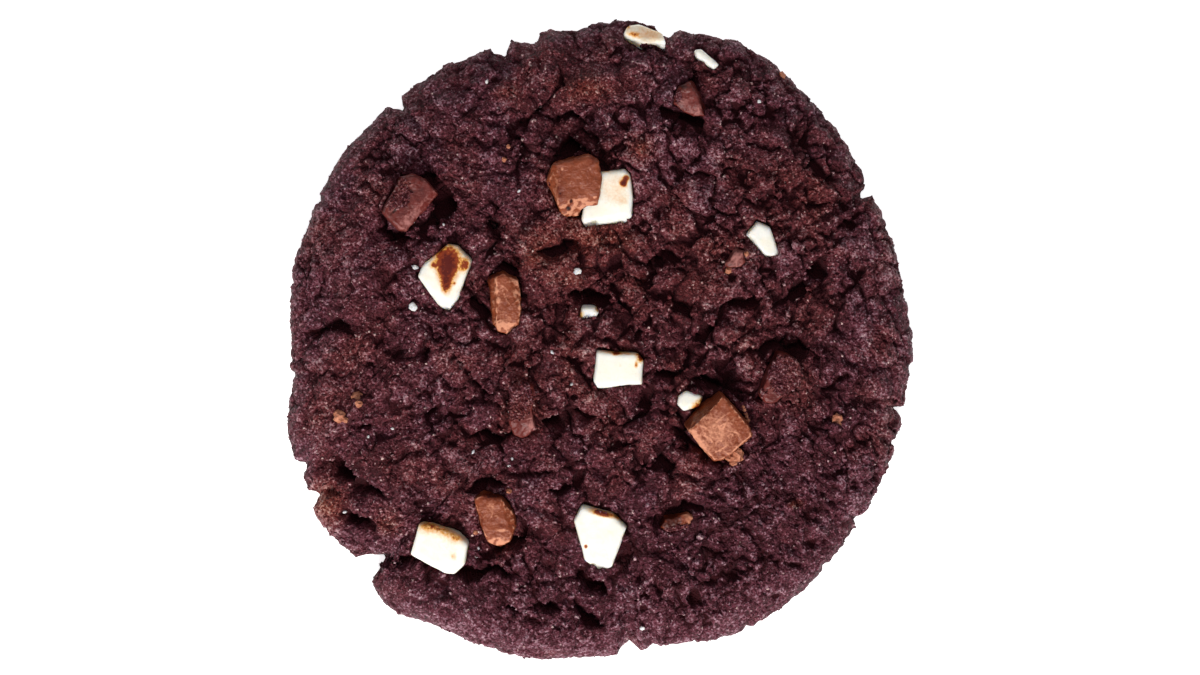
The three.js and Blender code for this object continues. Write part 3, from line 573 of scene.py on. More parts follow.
def baked_crumb(name, crust, warm, sugar, gap_shade):
    """Baked cocoa crumb: a dull, porous crust of fat, sugar and flour grains. The grains' tops dry
    out pale and greyish, partly as a painted sheen, and sugar glints on them as a painted highlight.
    The gaps between them stay moist and dark red, and are painted nearly black as their shade, and the
    tone is painted darker in the low places and paler on the raised ones. Melted chocolate reddens it
    here and there. Each of crust and warm is a dark, a middle and a dry colour: the dark one is partly
    painted shade and the dry one partly a painted sheen."""
    material, tree = new_material(name)
    place = add(tree, "TexCoord").outputs["Object"]
    mm = add(tree, "VectorMath", {0: place, 3: 1 / MM}, operation="SCALE")
    inside, redness, tone = [add(tree, "Attribute", attribute_name=noted).outputs["Fac"]
                             for noted in ("inside", "redness", "tone")]

    # patches of 7 mm, clumps of 1.4 mm, specks and grains: real grains of sugar and flour are 0.2 to
    # 0.4 mm, and are drawn at 0.4 to 0.5 mm here, as finer ones wouldn't show
    patches = add(tree, "TexNoise", {"Vector": mm, "Scale": 1 / 7, "Detail": 4})
    specks = add(tree, "TexNoise", {"Vector": mm, "Scale": 1 / 0.38, "Detail": 4})
    clumps = add(tree, "TexNoise", {"Vector": mm, "Scale": 1 / 1.4, "Detail": 3})
    grains = add(tree, "TexVoronoi", {"Vector": mm, "Scale": 1 / 0.5})
    grain_tone = add(tree, "SeparateColor", {0: grains.outputs["Color"]})

    # the gaps: painted nearly black as their shade where a point lies inside one, with an edge that the
    # grains make ragged
    stray = add(tree, "MapRange", {0: clumps, 1: 0.2, 2: 0.8, 3: -0.3, 4: 0.3})
    for size in CRUMB_SIZES:
        seam = add(tree, "Attribute", attribute_name=size + "_seam").outputs["Fac"]
        half_gap = add(tree, "Attribute", attribute_name=size + "_gap").outputs["Fac"]
        away = add(tree, "Math", {0: seam, 1: stray}, operation="ADD")
        away = add(tree, "Math", {0: away}, operation="ABSOLUTE")
        within = add(tree, "Math", {0: half_gap, 1: away}, operation="SUBTRACT")
        inside = add(tree, "Math", {0: inside, 1: within}, operation="MAXIMUM")
    ragged = add(tree, "Math", {0: specks, 1: 0.6, 2: inside}, operation="MULTIPLY_ADD")
    dark = add(tree, "MapRange", {0: ragged, 1: 0.28, 2: 0.46}, interpolation_type="SMOOTHSTEP")

    # dry tops: pale where the grain, its clump and the specks on it all are; the tone also holds painted
    # shade and light
    dry = add(tree, "Math", {0: grain_tone, 1: 0.55, 2: tone}, operation="MULTIPLY_ADD")
    dry = add(tree, "Math", {0: specks, 1: 2.7, 2: dry}, operation="MULTIPLY_ADD")
    dry = add(tree, "Math", {0: clumps, 1: 0.9, 2: dry}, operation="MULTIPLY_ADD")
    # the dark shade is moist crumb and painted shade, and the dry colour is partly a painted sheen
    moist = add(tree, "MapRange", {0: dry, 1: 1.7, 2: 2.22})
    dust_and_sheen = add(tree, "MapRange", {0: dry, 1: 2.18, 2: 2.78})
    # painted glint: the sugar colour stands for sugar grains catching the light
    glint = add(tree, "MapRange", {0: dry, 1: 2.74, 2: 3.05})
    red = add(tree, "MapRange", {0: patches, 1: 0.42, 2: 0.72, 3: 0.0, 4: 0.45})
    red = add(tree, "Math", {0: red, 1: redness}, operation="ADD", use_clamp=True)
    shades = [add(tree, "Mix", {0: red, 6: paint(cool), 7: paint(hot)}, data_type="RGBA").outputs[2]
              for cool, hot in zip(crust, warm)]
    layers = ((moist, shades[1]), (dust_and_sheen, shades[2]), (glint, paint(sugar)), (dark, paint(gap_shade)))
    colour = shades[0]
    for amount, over in layers:
        colour = add(tree, "Mix", {0: amount, 6: colour, 7: over}, data_type="RGBA").outputs[2]

    # grains, specks and the walls of the gaps as fine relief, in mm
    height = add(tree, "Math", {0: specks, 1: 0.55}, operation="MULTIPLY")
    height = add(tree, "Math", {0: grains.outputs["Distance"], 1: -0.2, 2: height},
                 operation="MULTIPLY_ADD")
    height = add(tree, "Math", {0: dark, 1: -0.35, 2: height}, operation="MULTIPLY_ADD")
    bump = add(tree, "Bump", {"Height": height, "Distance": MM})
    rough = add(tree, "MapRange", {0: grain_tone, 3: 0.4, 4: 0.75})
    rough = add(tree, "Math", {0: dark, 1: 0.5, 2: rough}, operation="MULTIPLY_ADD", use_clamp=True)
    shader = add(tree, "BsdfPrincipled", {
        "Base Color": colour, "Roughness": rough, "IOR": 1.45, "Specular IOR Level": 0.28,
        "Normal": bump})
    add(tree, "OutputMaterial", {0: shader})
    return material


# Where melted chocolate or a broken edge reddens the dough: [x, y, half length, half width, turn, amount]
REDDENED = [
    [-1.9, 39.8, 5.6, 2.6, 0, 0.8], [6.8, 30.1, 1.8, 2.3, 0, 0.7], [-43.2, -25.6, 3.6, 3.6, 30, 0.9],
    [-34, -29.8, 2.4, 1.5, 0, 0.5], [-12.3, -11, 3, 5, 0, 0.5], [-8, 12.6, 5, 4, 0, 0.35],
    [16, 9, 5, 4, 0, 0.35], [20, 15, 3, 3, 0, 0.4], [-15, 39.5, 2, 1.4, 0, 0.5], [30, -6, 4, 6, 20, 0.35],
    [0, 16, 12, 4, 0, 0.3], [-5, 24, 7, 8, 0, 0.25], [-17, -30, 6, 4, 0, 0.3], [-40, -9, 5, 4, 0, 0.3],
    [0, 4, 26, 17, 0, 0.3], [33, 20, 7, 6, 0, 0.3], [14, -21, 4, 4, 0, 0.4], [-20, -44, 30, 9, 0, -0.3],
    [25, -36, 22, 12, 17, -0.3], [31.3, -26.2, 1.1, 0.6, 0, 1.5],
]

points, triangles, part, inside, seams, dryness_and_shade = dough_mesh()
dough = mesh_piece("dough_crumb", points, triangles)
reddened = np.clip(spread(points[:, 0], points[:, 1], REDDENED), -0.5, 0.85)
note_crumb(dough, reddened, dryness_and_shade, inside, seams)
# dark shades partly painted shade, dry ones partly painted sheen, 0xD6B8B0 painted glints, 0x30050C painted
# gap shade
CRUMB = baked_crumb("baked_cocoa_crumb", (0x350712, 0x652C3A, 0xAC8894), (0x430906, 0x7B2F22, 0xBE8D7C),
                    0xD6B8B0, 0x30050C)
dough.data.materials.append(CRUMB)
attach(dough, "root")
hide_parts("dough")

# ------------------------------------------------------------------------------------------------
# Loose-looking crumb: grains and clumps of the same dough, baked fast to the crust. Each is a small
# uneven stone shape that is sunk in the skin, and each kind is one piece.
# ------------------------------------------------------------------------------------------------
OCTAHEDRON = (
    np.array([[1, 0, 0], [0, 1, 0], [-1, 0, 0], [0, -1, 0], [0, 0, 1], [0, 0, -1]], float),
    np.array([[0, 1, 4], [1, 2, 4], [2, 3, 4], [3, 0, 4], [1, 0, 5], [2, 1, 5], [3, 2, 5], [0, 3, 5]]),
)


def rounder(stone):
    """A stone shape with each triangle split in four and the new points pushed out."""
    corners, faces = stone
    corners = list(map(tuple, corners))
    middles = {}
    split = []
    for a, b, c in faces:
        between = []
        for p, q in ((a, b), (b, c), (c, a)):
            key = (min(p, q), max(p, q))
            if key not in middles:
                half = (np.array(corners[p]) + np.array(corners[q])) / 2
                middles[key] = len(corners)
                corners.append(tuple(half / np.linalg.norm(half)))
            between.append(middles[key])
        ab, bc, ca = between
        split += [(a, ab, ca), (ab, b, bc), (ca, bc, c), (ab, bc, ca)]
    return np.array(corners), np.array(split)


def turned(count, rng):
    """Random turns, as a matrix each."""
    q = rng.normal(size=(count, 4))
    w, x, y, z = (q / np.linalg.norm(q, axis=1, keepdims=True)).T
    return np.stack([
        1 - 2 * (y * y + z * z), 2 * (x * y - z * w), 2 * (x * z + y * w),
        2 * (x * y + z * w), 1 - 2 * (x * x + z * z), 2 * (y * z - x * w),
        2 * (x * z - y * w), 2 * (y * z + x * w), 1 - 2 * (x * x + y * y),
    ], axis=-1).reshape(count, 3, 3)


def stones(places, sizes, stone, rng, uneven=0.35):
    """Many uneven stones: their points in mm, and their triangles."""
    corners, faces = stone
    count = len(places)
    lengths = sizes[:, None] / 2 * rng.uniform(0.65, 1.25, (count, 3))
    rough = 1 + uneven * rng.uniform(-1, 1, (count, len(corners), 1))
    shape = corners[None] * rough * lengths[:, None]
    points = np.einsum("nij,nkj->nki", turned(count, rng), shape) + places[:, None]
    triangles = faces[None] + len(corners) * np.arange(count)[:, None, None]
    return points.reshape(-1, 3), triangles.reshape(-1, 3)


skin_normals = normals_of(points, triangles)
corner_points = points[triangles]
areas = np.linalg.norm(np.cross(corner_points[:, 1] - corner_points[:, 0],
                                corner_points[:, 2] - corner_points[:, 0]), axis=1) / 2
# crumbs lie away from the chunks, from the gaps and from the foot of the rim
bare = np.min([outside(points[:, 0], points[:, 1], FOOTPRINTS[name]) for name in CHUNKS], axis=0)
open_skin = (part[triangles[:, 0]] < 2) & (bare[triangles[:, 0]] > 0.25) & (inside[triangles[:, 0]] < -0.05)
open_skin &= points[triangles[:, 0], 2] > 0.7


def sown(count, rng, favour):
    """Random places on the open skin: their points, their normals and their triangles' first points."""
    weight = areas * open_skin * favour[triangles[:, 0]]
    chosen = rng.choice(len(triangles), count, p=weight / weight.sum())
    share = rng.dirichlet([1, 1, 1], count)
    places = np.einsum("nk,nkj->nj", share, points[triangles[chosen]])
    return places, skin_normals[triangles[chosen, 0]], triangles[chosen, 0]


def crumb_piece(name, count, smallest, largest, stone, seed, proud, sugar_and_glint, favour):
    """One kind of crumb as a piece of the dough's material, from its smallest size to its largest in
    mm. proud is how far each stands out as a share of its size, and the one after it how pale the
    palest are, with sugar and with a painted sheen and painted glints."""
    rng = np.random.default_rng(seed)
    places, facing, near = sown(count, rng, favour)
    sizes = smallest * (largest / smallest) ** rng.uniform(0, 1, count) ** 1.6
    places = places + facing * (sizes * (proud - 0.5 + 0.25 * rng.uniform(-1, 1, count)))[:, None]
    places[:, 2] = np.maximum(places[:, 2], 0.85 * sizes)
    grains, faces = stones(places, sizes, stone, rng)
    piece = mesh_piece(name, grains, faces)
    each = len(stone[0])
    redness = np.clip(spread(places[:, 0], places[:, 1], REDDENED), -0.5, 0.8)
    # the palest grains take the painted sheen and the painted glints of the crumb's material
    tone = sugar_and_glint * rng.uniform(0, 1, count) ** 5 - 0.15
    note_crumb(piece, np.repeat(redness, each), np.repeat(tone, each))
    piece.data.materials.append(CRUMB)
    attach(piece, "root")


STONE = rounder(OCTAHEDRON)
RIM_SHARE = 0.94
# most grains lie on what stands out, few on the rim, and the larger ones not at all there
raised = np.clip(-0.1 - inside, 0.05, 0.6)
reach = np.hypot(points[:, 0], points[:, 1])
on_rim = reach / outline_radius(np.arctan2(points[:, 1], points[:, 0])) > RIM_SHARE
raised *= np.where(on_rim, 0.45, 1)
within_rim = raised * ~on_rim
crumb_piece("fine_crumb", 24500, 0.3, 0.65, OCTAHEDRON, 61, proud=0.3, sugar_and_glint=1.1, favour=raised)
crumb_piece("coarse_crumb", 4200, 0.6, 1.1, STONE, 62, proud=0.2, sugar_and_glint=0.5, favour=within_rim)
crumb_piece("crumb_clumps", 500, 1.1, 1.9, rounder(STONE), 63, proud=0.1, sugar_and_glint=0.3, favour=within_rim)

# ------------------------------------------------------------------------------------------------
# The chopped chocolate: white, milk and dark blocks cut with a knife and stirred into the dough.
# Each starts from its solid, is remeshed finely, and gets worn edges, knife marks and chips.
# ------------------------------------------------------------------------------------------------
# Fineness of the chunks' mesh in mm
CHOP_STEP = 0.17

# Where the knife split a chunk, which leaves a sloping face:
# (direction it faces in degrees, distance of its upper edge from the middle, slope in degrees)
KNIFE_CUTS = {
    "white_chunk_1": [(245, 3.2, 38)],
    "white_chunk_2": [(262, 4.2, 40)],
    "white_chunk_3": [(272, 2.2, 40)],
    "white_chunk_4": [(278, 2.3, 42)],
    "white_chunk_5": [(235, 2.6, 35), (330, 2.6, 30)],
    "white_chunk_6": [(225, 1.2, 35)],
    "white_chunk_9": [(270, 0.7, 20)],
    "milk_chunk_1": [(277, 2.5, 42), (190, 3.4, 48)],
    "milk_chunk_2": [(275, 3.1, 40), (185, 1.4, 50), (10, 1.5, 30)],
    "milk_chunk_3": [(137, 3.3, 62), (228, 3.6, 30)],
    "milk_chunk_4": [(5, 1.6, 30), (265, 2.9, 40), (85, 3.2, 45)],
    "dark_chunk_1": [(318, 1.4, 35)],
    "dark_chunk_2": [(250, 1.0, 35)],
    "dark_chunk_4": [(290, 2.2, 35)],
}


def knifed(name):
    """A copy of a chunk's solid with its sloping faces cut."""
    solid = bmesh.new()
    solid.from_mesh(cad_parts[name].data)
    bmesh.ops.remove_doubles(solid, verts=solid.verts, dist=0.001 * MM)
    middle_x, middle_y = FOOTPRINTS[name].mean(axis=0) * MM
    for degrees, start, slope in KNIFE_CUTS.get(name, ()):
        a = np.radians(degrees)
        tilt = np.radians(slope)
        x = middle_x + start * MM * np.cos(a)
        y = middle_y + start * MM * np.sin(a)
        above = Vector((x, y, 1))
        hit = BVHTree.FromBMesh(solid).ray_cast(above, Vector((0, 0, -1)))[0]
        if hit is None:
            continue
        facing = (np.cos(a) * np.sin(tilt), np.sin(a) * np.sin(tilt), np.cos(tilt))
        whole = solid.verts[:] + solid.edges[:] + solid.faces[:]
        bmesh.ops.bisect_plane(solid, geom=whole, plane_co=hit, plane_no=facing, clear_outer=True)
        bmesh.ops.edgeloop_fill(solid, edges=[edge for edge in solid.edges if edge.is_boundary])
    mesh = bpy.data.meshes.new("knifed")
    solid.to_mesh(mesh)
    solid.free()
    return mesh


def remeshed(mesh, step):
    """A closed mesh as a fine even one: its points in mm and its triangles."""
    source = bpy.data.objects.new("remeshing", mesh)
    bpy.context.scene.collection.objects.link(source)
    voxels = source.modifiers.new("voxels", "REMESH")
    voxels.mode = "VOXEL"
    voxels.voxel_size = step * MM
    smooth = source.modifiers.new("smooth", "SMOOTH")
    smooth.factor = 0.5
    smooth.iterations = 14
    found = source.evaluated_get(bpy.context.evaluated_depsgraph_get()).to_mesh()
    found.calc_loop_triangles()
    points = np.empty(3 * len(found.vertices), np.float32)
    found.vertices.foreach_get("co", points)
    triangles = np.empty(3 * len(found.loop_triangles), np.int32)
    found.loop_triangles.foreach_get("vertices", triangles)
    bpy.data.objects.remove(source)
    bpy.data.meshes.remove(mesh)
    return points.reshape(-1, 3).astype(float) / MM, triangles.reshape(-1, 3)


def chocolate(name, body, toasts, roughness, scuff, depth):
    """Tempered chocolate, chopped and then baked: a smooth waxy solid with a soft shine, scuffed pale
    and dull where the knife broke it, and painted paler as a highlight on some lit edges. What the
    oven reached is toasted, in three steps of colour. body is two shades and the scuffed one, which
    also colours the painted highlights, and depth is how much light goes on below its skin."""
    material, tree = new_material(name)
    place = add(tree, "TexCoord").outputs["Object"]
    mm = add(tree, "VectorMath", {0: place, 3: 1 / MM}, operation="SCALE")
    browned = add(tree, "Attribute", attribute_name="browned").outputs["Fac"]
    pale = add(tree, "Attribute", attribute_name="pale").outputs["Fac"]

    # clouds of 2.4 mm, flecks of 0.45 mm, and strokes of the knife 1.2 mm long and 0.2 mm wide
    cloud = add(tree, "TexNoise", {"Vector": mm, "Scale": 1 / 2.4, "Detail": 4})
    flecks = add(tree, "TexNoise", {"Vector": mm, "Scale": 1 / 0.45, "Detail": 4})
    marks = []
    for turn, seed in ((35, 5.0), (-50, 21.0)):
        stroke = add(tree, "Mapping", {
            "Vector": mm, "Location": (seed, seed, seed), "Rotation": (0, 0, np.radians(turn)),
            "Scale": (0.8, 4.5, 1.0)})
        marks.append(add(tree, "TexNoise", {"Vector": stroke, "Scale": 1.0, "Detail": 3}))
    scratches = add(tree, "Math", {0: marks[0], 1: marks[1]}, operation="MAXIMUM")

    # pale where scuffed and worn, and painted paler as a highlight on some lit edges
    scuffed_and_lit = add(tree, "Math", {0: flecks, 1: 0.9, 2: pale}, operation="MULTIPLY_ADD")
    scuffed_and_lit = add(tree, "MapRange", {0: scuffed_and_lit, 1: 0.72, 2: 1.1})
    scored = add(tree, "MapRange", {0: scratches, 1: 0.6, 2: 0.74, 3: 0.0, 4: scuff})
    scuffed_and_lit = add(tree, "Math", {0: scuffed_and_lit, 1: scored}, operation="MAXIMUM")
    toasted = add(tree, "Math", {0: flecks, 1: 1.6, 2: 0.2}, operation="MULTIPLY_ADD")
    toasted = add(tree, "Math", {0: toasted, 1: browned}, operation="MULTIPLY")
    shade = add(tree, "MapRange", {0: cloud, 1: 0.3, 2: 0.7})
    light = add(tree, "MapRange", {0: toasted, 1: 0.1, 2: 0.5})
    heavy = add(tree, "MapRange", {0: toasted, 1: 0.48, 2: 0.66})
    burnt = add(tree, "MapRange", {0: toasted, 1: 0.85, 2: 1.25})
    colour = paint(body[0])
    for amount, over in zip((shade, scuffed_and_lit, light, heavy, burnt), (*body[1:], *toasts)):
        colour = add(tree, "Mix", {0: amount, 6: colour, 7: paint(over)}, data_type="RGBA").outputs[2]

    # knife marks and grain as fine relief, in mm
    height = add(tree, "Math", {0: flecks, 1: 0.05 + 0.3 * scuff}, operation="MULTIPLY")
    height = add(tree, "Math", {0: scratches, 1: 0.12 * scuff, 2: height},
                 operation="MULTIPLY_ADD")
    bump = add(tree, "Bump", {"Height": height, "Distance": MM})
    dull = add(tree, "MapRange", {0: scuffed_and_lit, 3: roughness, 4: 0.75})
    shader = add(tree, "BsdfPrincipled", {
        "Base Color": colour, "Roughness": dull, "IOR": 1.46, "Specular IOR Level": 0.3, "Normal": bump,
        "Subsurface Weight": depth, "Subsurface Radius": (1.0, 0.9, 0.75), "Subsurface Scale": 2 * MM})
    add(tree, "OutputMaterial", {0: shader})
    return material


WHITE = chocolate("white_chocolate", (0xF8F0DE, 0xFCF7EB, 0xFDFBF6), (0xE0A24A, 0x8A3410, 0x5A1206),
                  roughness=0.4, scuff=0.0, depth=0.8)
MILK = chocolate("milk_chocolate", (0x76341C, 0x8C462A, 0xCB8A6C), (0x6A2810, 0x44160A, 0x1E0804),
                 roughness=0.42, scuff=0.4, depth=0.0)
DARK = chocolate("dark_chocolate", (0x521D19, 0x6C2B26, 0x9E6660), (0x45150D, 0x300C08, 0x160403),
                 roughness=0.38, scuff=0.3, depth=0.0)
KINDS = {
    "white": (WHITE, "white_chocolate"),
    "milk": (MILK, "milk_chocolate"),
    "dark": (DARK, "dark_chocolate"),
}

# Toasted spots and stains: [x, y, half length, half width, turn, amount]
TOASTED = [
    [-27.7, -29.9, 1.7, 1.1, -8, 0.34], [-25.0, -30.2, 3.8, 0.8, -22, 0.42],
    [-22.7, -31.7, 0.9, 0.6, 0, 0.26], [-23.1, -34.5, 0.5, 0.6, 0, 0.3], [-24.1, -32.0, 3.0, 3.0, 0, 0.14],
    [3.4, -28.4, 1.3, 0.4, -28, 0.42], [-2.1, -32.9, 0.24, 0.26, 0, 1.2], [0.5, -27.6, 1.9, 0.45, -15, 1.1],
    [3.0, -1.95, 3.6, 0.4, -4, 0.46], [2.7, -2.2, 0.6, 0.35, 0, 0.6], [6.7, -2.8, 0.7, 0.8, 0, 0.9],
    [5.9, -4.0, 0.25, 0.5, 0, 0.7], [3.4, -4.1, 0.5, 0.5, 0, 0.16], [4.3, 25.6, 0.45, 0.4, 0, 1.3],
    [3.9, 24.8, 0.45, 0.5, 0, 1.3], [2.6, 24.2, 3.2, 3.6, 0, 0.22], [3.7, 22.0, 0.9, 0.6, 0, 0.14],
    [1.1, 27.0, 0.6, 0.35, 0, 0.8], [-24.0, 12.9, 2.0, 2.0, 0, 1.2], [-24.1, 10.7, 1.3, 1.7, 0, 1.1],
    [-24.3, 8.6, 0.7, 1.2, 0, 0.95], [-26.3, 11.8, 0.6, 0.4, 0, 0.5], [-21.2, 11.8, 0.6, 1.0, -15, 0.8],
    [-22.9, 8.9, 0.2, 0.2, 0, 0.6], [4.2, 50.2, 0.7, 0.6, 0, 1.0], [5.4, 48.7, 1.0, 0.45, -10, 0.5],
    [8.2, 48.8, 3.0, 2.0, 0, 0.33], [-2.9, 3.9, 0.6, 0.8, 0, 0.5], [-0.2, 4.8, 0.6, 0.5, 0, 0.5],
    [13.4, -11.6, 0.5, 0.3, 0, 0.2], [-4.4, 22.0, 0.22, 0.26, 0, 1.5], [-4.9, 20.9, 0.32, 0.34, 0, 1.5],
    [-1.1, 28.3, 0.8, 1.2, 0, 0.4], [-6.2, 23.2, 0.6, 1.6, 10, 0.5], [16.4, -9.8, 3.4, 0.8, 40, 0.55],
    [15.8, -11.4, 0.7, 0.9, 0, 0.5], [-17.3, 8.8, 0.45, 2.2, 0, 0.5], [-16.3, 10.2, 1.3, 0.5, 0, 0.55],
    [-17.1, -24.8, 1.9, 0.6, 0, 0.8], [-15.5, -29.6, 0.7, 0.35, 0, 0.45], [-18.6, -28.9, 0.45, 2.2, 0, 0.4],
    [11.4, -28.9, 2.6, 1.8, 20, 0.85], [-31.7, 21.1, 1.9, 0.2, 45, 1.2], [13.5, 40.1, 1.2, 0.7, 0, 0.6],
    [28.0, -3.4, 1.0, 1.6, 20, 0.6], [-12.6, -8.2, 1.6, 1.2, 0, 0.6], [-3.8, 24.8, 3.0, 3.4, 0, 0.2],
]
# Scuffs and chips, which are paler, and painted highlights on lit edges: the same six values
SCUFFED_AND_LIT = [
    [-3.8, 20.2, 3.4, 1.0, 8, 0.24], [-5.8, 27.0, 0.3, 0.35, 0, 0.9], [-4.5, 24.8, 0.25, 0.3, 0, 0.9],
    [-1.4, 26.9, 0.3, 0.25, 0, 0.8], [-6.4, 24.4, 0.6, 0.9, 0, 0.5], [-0.8, 22.8, 0.4, 1.2, 0, 0.3],
    [18.6, -14.5, 4.4, 4.0, 0, 0.52], [-3.6, 25.4, 3.4, 3.0, 0, -0.3], [15.7, -16.3, 3.2, 0.6, -48, 0.4],
    [-15.1, 1.9, 1.7, 1.1, 0, 0.3], [-15.1, 6.0, 3, 4, 0, 0.2], [-15.9, 6.2, 0.3, 0.8, 0, 0.4],
    [-13.2, 7.4, 0.4, 0.6, 0, 0.4], [-17.0, -26.6, 1.0, 1.6, 0, 0.4], [-15.9, -31.8, 2.0, 0.8, 0, 0.35],
    [-15.5, -30.3, 1.0, 0.25, 0, 0.8], [14.3, -28.4, 0.8, 0.8, 0, 0.4], [-30.4, 18.7, 1.4, 3.2, -45, 0.42],
    [-27.2, 23.0, 1.4, 1.8, 0, 0.25], [15.7, 36.5, 1.3, 1.3, 0, 0.35], [13.5, 37.6, 1.2, 0.8, 0, 0.4],
    [-10.6, -13.5, 1.4, 1.4, 0, 0.5], [22.0, 13.2, 2.2, 2.2, 0, 0.5],
]
# Wear of each kind: broad unevenness in mm, small unevenness in mm, how pale its edges are, and
# how many scratches the knife left on it
WEAR = {"white": (0.08, 0.03, 0.1, 0), "milk": (0.22, 0.1, 0.8, 30), "dark": (0.22, 0.1, 0.3, 9)}


def scratched(x, y, corners, count, rng):
    """Fine burrs, 0.2 mm wide, that the knife scored into a chunk: how strong they are at each point."""
    total = np.zeros(len(x))
    low, high = corners.min(axis=0), corners.max(axis=0)
    for _ in range(count):
        middle = rng.uniform(low, high)
        turn = rng.uniform(0, np.pi)
        length = rng.uniform(0.5, 1.7)
        bow = rng.uniform(-0.25, 0.25)
        along = (x - middle[0]) * np.cos(turn) + (y - middle[1]) * np.sin(turn)
        across = (y - middle[1]) * np.cos(turn) - (x - middle[0]) * np.sin(turn) - bow * along**2
        total += rng.uniform(0.3, 1) * np.exp(-((along / length) ** 4) - (across / 0.11) ** 2)
    return np.minimum(total, 1)


coated = []
for number, name in enumerate(CHUNKS):
    kind = name.split("_")[0]
    broad, small, edge_wear, scratch_count = WEAR[kind]
    chunk_points, chunk_triangles = remeshed(knifed(name), CHOP_STEP)
    facing = normals_of(chunk_points, chunk_triangles)
    x, y, _ = chunk_points.T
    browned = spread(x, y, TOASTED)
    pits = np.clip(browned - 1.25, 0, 0.3) * (kind == "milk")
    burrs = scratched(x, y, FOOTPRINTS[name], scratch_count, np.random.default_rng(200 + number))
    wear = broad * swirls(chunk_points, 3.2, 70 + number) + small * swirls(chunk_points, 0.9, 100 + number)
    edges = np.clip(1 - np.abs(facing[:, 2] - 0.75) / 0.2, 0, 1)
    edges *= np.clip(0.5 + 1.3 * swirls(chunk_points, 0.8, 130 + number), 0, 1)
    grit = hashed(np.round(chunk_points / 0.25).astype(np.int64), 9)[:, 0] - 0.5
    rough = edge_wear * (0.5 * edges + 0.12 * grit)
    shown_points = chunk_points + facing * (wear - 0.03 - pits + 0.09 * burrs + 0.34 * rough)[:, None]
    chunk = mesh_piece(name + "_chopped", shown_points, chunk_triangles)
    note(chunk, "browned", browned)
    # pale: scuffs, chips, worn edges and burrs, and painted highlights on some lit edges
    note(chunk, "pale", spread(x, y, SCUFFED_AND_LIT) + edge_wear * edges + 0.4 * burrs)
    material, slot = KINDS[kind]
    chunk.data.materials.append(material)
    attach(chunk, "root")
    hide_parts(name)
    coated.append((shown_points, chunk_triangles, facing))

# ------------------------------------------------------------------------------------------------
# Crumb on the chunks: grains of the same cocoa dough that baked fast to the tops of the chunks,
# most of all to the dark ones, and in the corners where a chunk meets the crust.
# ------------------------------------------------------------------------------------------------
# Where it lies: [x, y, half length, half width, turn, amount]
CRUMBED = [
    [-33.2, 24.0, 2.6, 3.4, 45, 1.0], [30.0, -5.6, 3.0, 3.4, 0, 0.9], [-13.2, -9.4, 2.4, 3.4, 0, 0.9],
    [0.5, -26.9, 2.0, 0.5, -15, 1.0], [11.7, -30.2, 2.4, 0.6, 15, 0.8], [8.4, 46.6, 1.8, 0.5, -10, 0.8],
    [-7.8, 24.6, 0.4, 2.0, 0, 0.3], [12.6, 38.6, 0.7, 1.4, 0, 0.5], [-1.0, 3.2, 1.6, 0.5, 0, 0.7],
    [25.0, -8.6, 1.4, 1.0, 0, 0.6],
]
starts = np.cumsum([0] + [len(points) for points, _, _ in coated])
chunk_skin = np.concatenate([points for points, _, _ in coated])
chunk_faces = np.concatenate([faces + start for (_, faces, _), start in zip(coated, starts)])
chunk_facing = np.concatenate([facing for _, _, facing in coated])
crumbed = np.clip(spread(chunk_skin[:, 0], chunk_skin[:, 1], CRUMBED) - 0.25, 0, 1)
crumbed = (crumbed * (chunk_facing[:, 2] > 0.35))[chunk_faces[:, 0]]
rng = np.random.default_rng(64)
count = 8000
smallest, largest = 0.26, 0.55
chosen = rng.choice(len(chunk_faces), count, p=crumbed / crumbed.sum())
places = chunk_skin[chunk_faces[chosen, 0]]
sizes = smallest * (largest / smallest) ** rng.uniform(0, 1, count) ** 1.5
places = places + chunk_facing[chunk_faces[chosen, 0]] * (0.05 * sizes)[:, None]
grains, faces = stones(places, sizes, OCTAHEDRON, rng)
crumb_on_chunks = mesh_piece("crumb_on_chunks", grains, faces)
each = len(OCTAHEDRON[0])
redness = np.repeat(rng.uniform(0, 0.4, count), each)
note_crumb(crumb_on_chunks, redness, np.repeat(0.4 * rng.uniform(0, 1, count) ** 3 - 0.15, each))
crumb_on_chunks.data.materials.append(CRUMB)
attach(crumb_on_chunks, "root")

# ------------------------------------------------------------------------------------------------
# Chips of chocolate: small shards of the white and the milk chocolate that broke off as the blocks
# were chopped, were stirred into the dough with the chunks, and baked into its crust.
# ------------------------------------------------------------------------------------------------
# [x, y, length]
WHITE_CHIPS = [
    [-17.9, 41.1, 0.7], [-12.7, 23.6, 0.5], [-29.5, 18.7, 0.5], [-24.7, 18.3, 0.6], [-29.3, 11.5, 0.9],
    [-3.4, 10.8, 1.1], [-29.6, 5.2, 1.2], [-7.4, -2.0, 0.6], [-13.9, -11.6, 1.0], [-4.3, -7.1, 0.6],
    [-20.0, -17.9, 0.6], [-13.9, -19.0, 0.5], [-14.3, -20.1, 0.5], [25.5, 37.9, 0.6], [-32.9, -14.2, 0.6],
    [-36.7, -15.5, 0.6], [6.9, -46.1, 0.8], [-40.7, -27.6, 0.6], [-19.6, -34.6, 0.6], [-19.2, -33.2, 0.5],
]
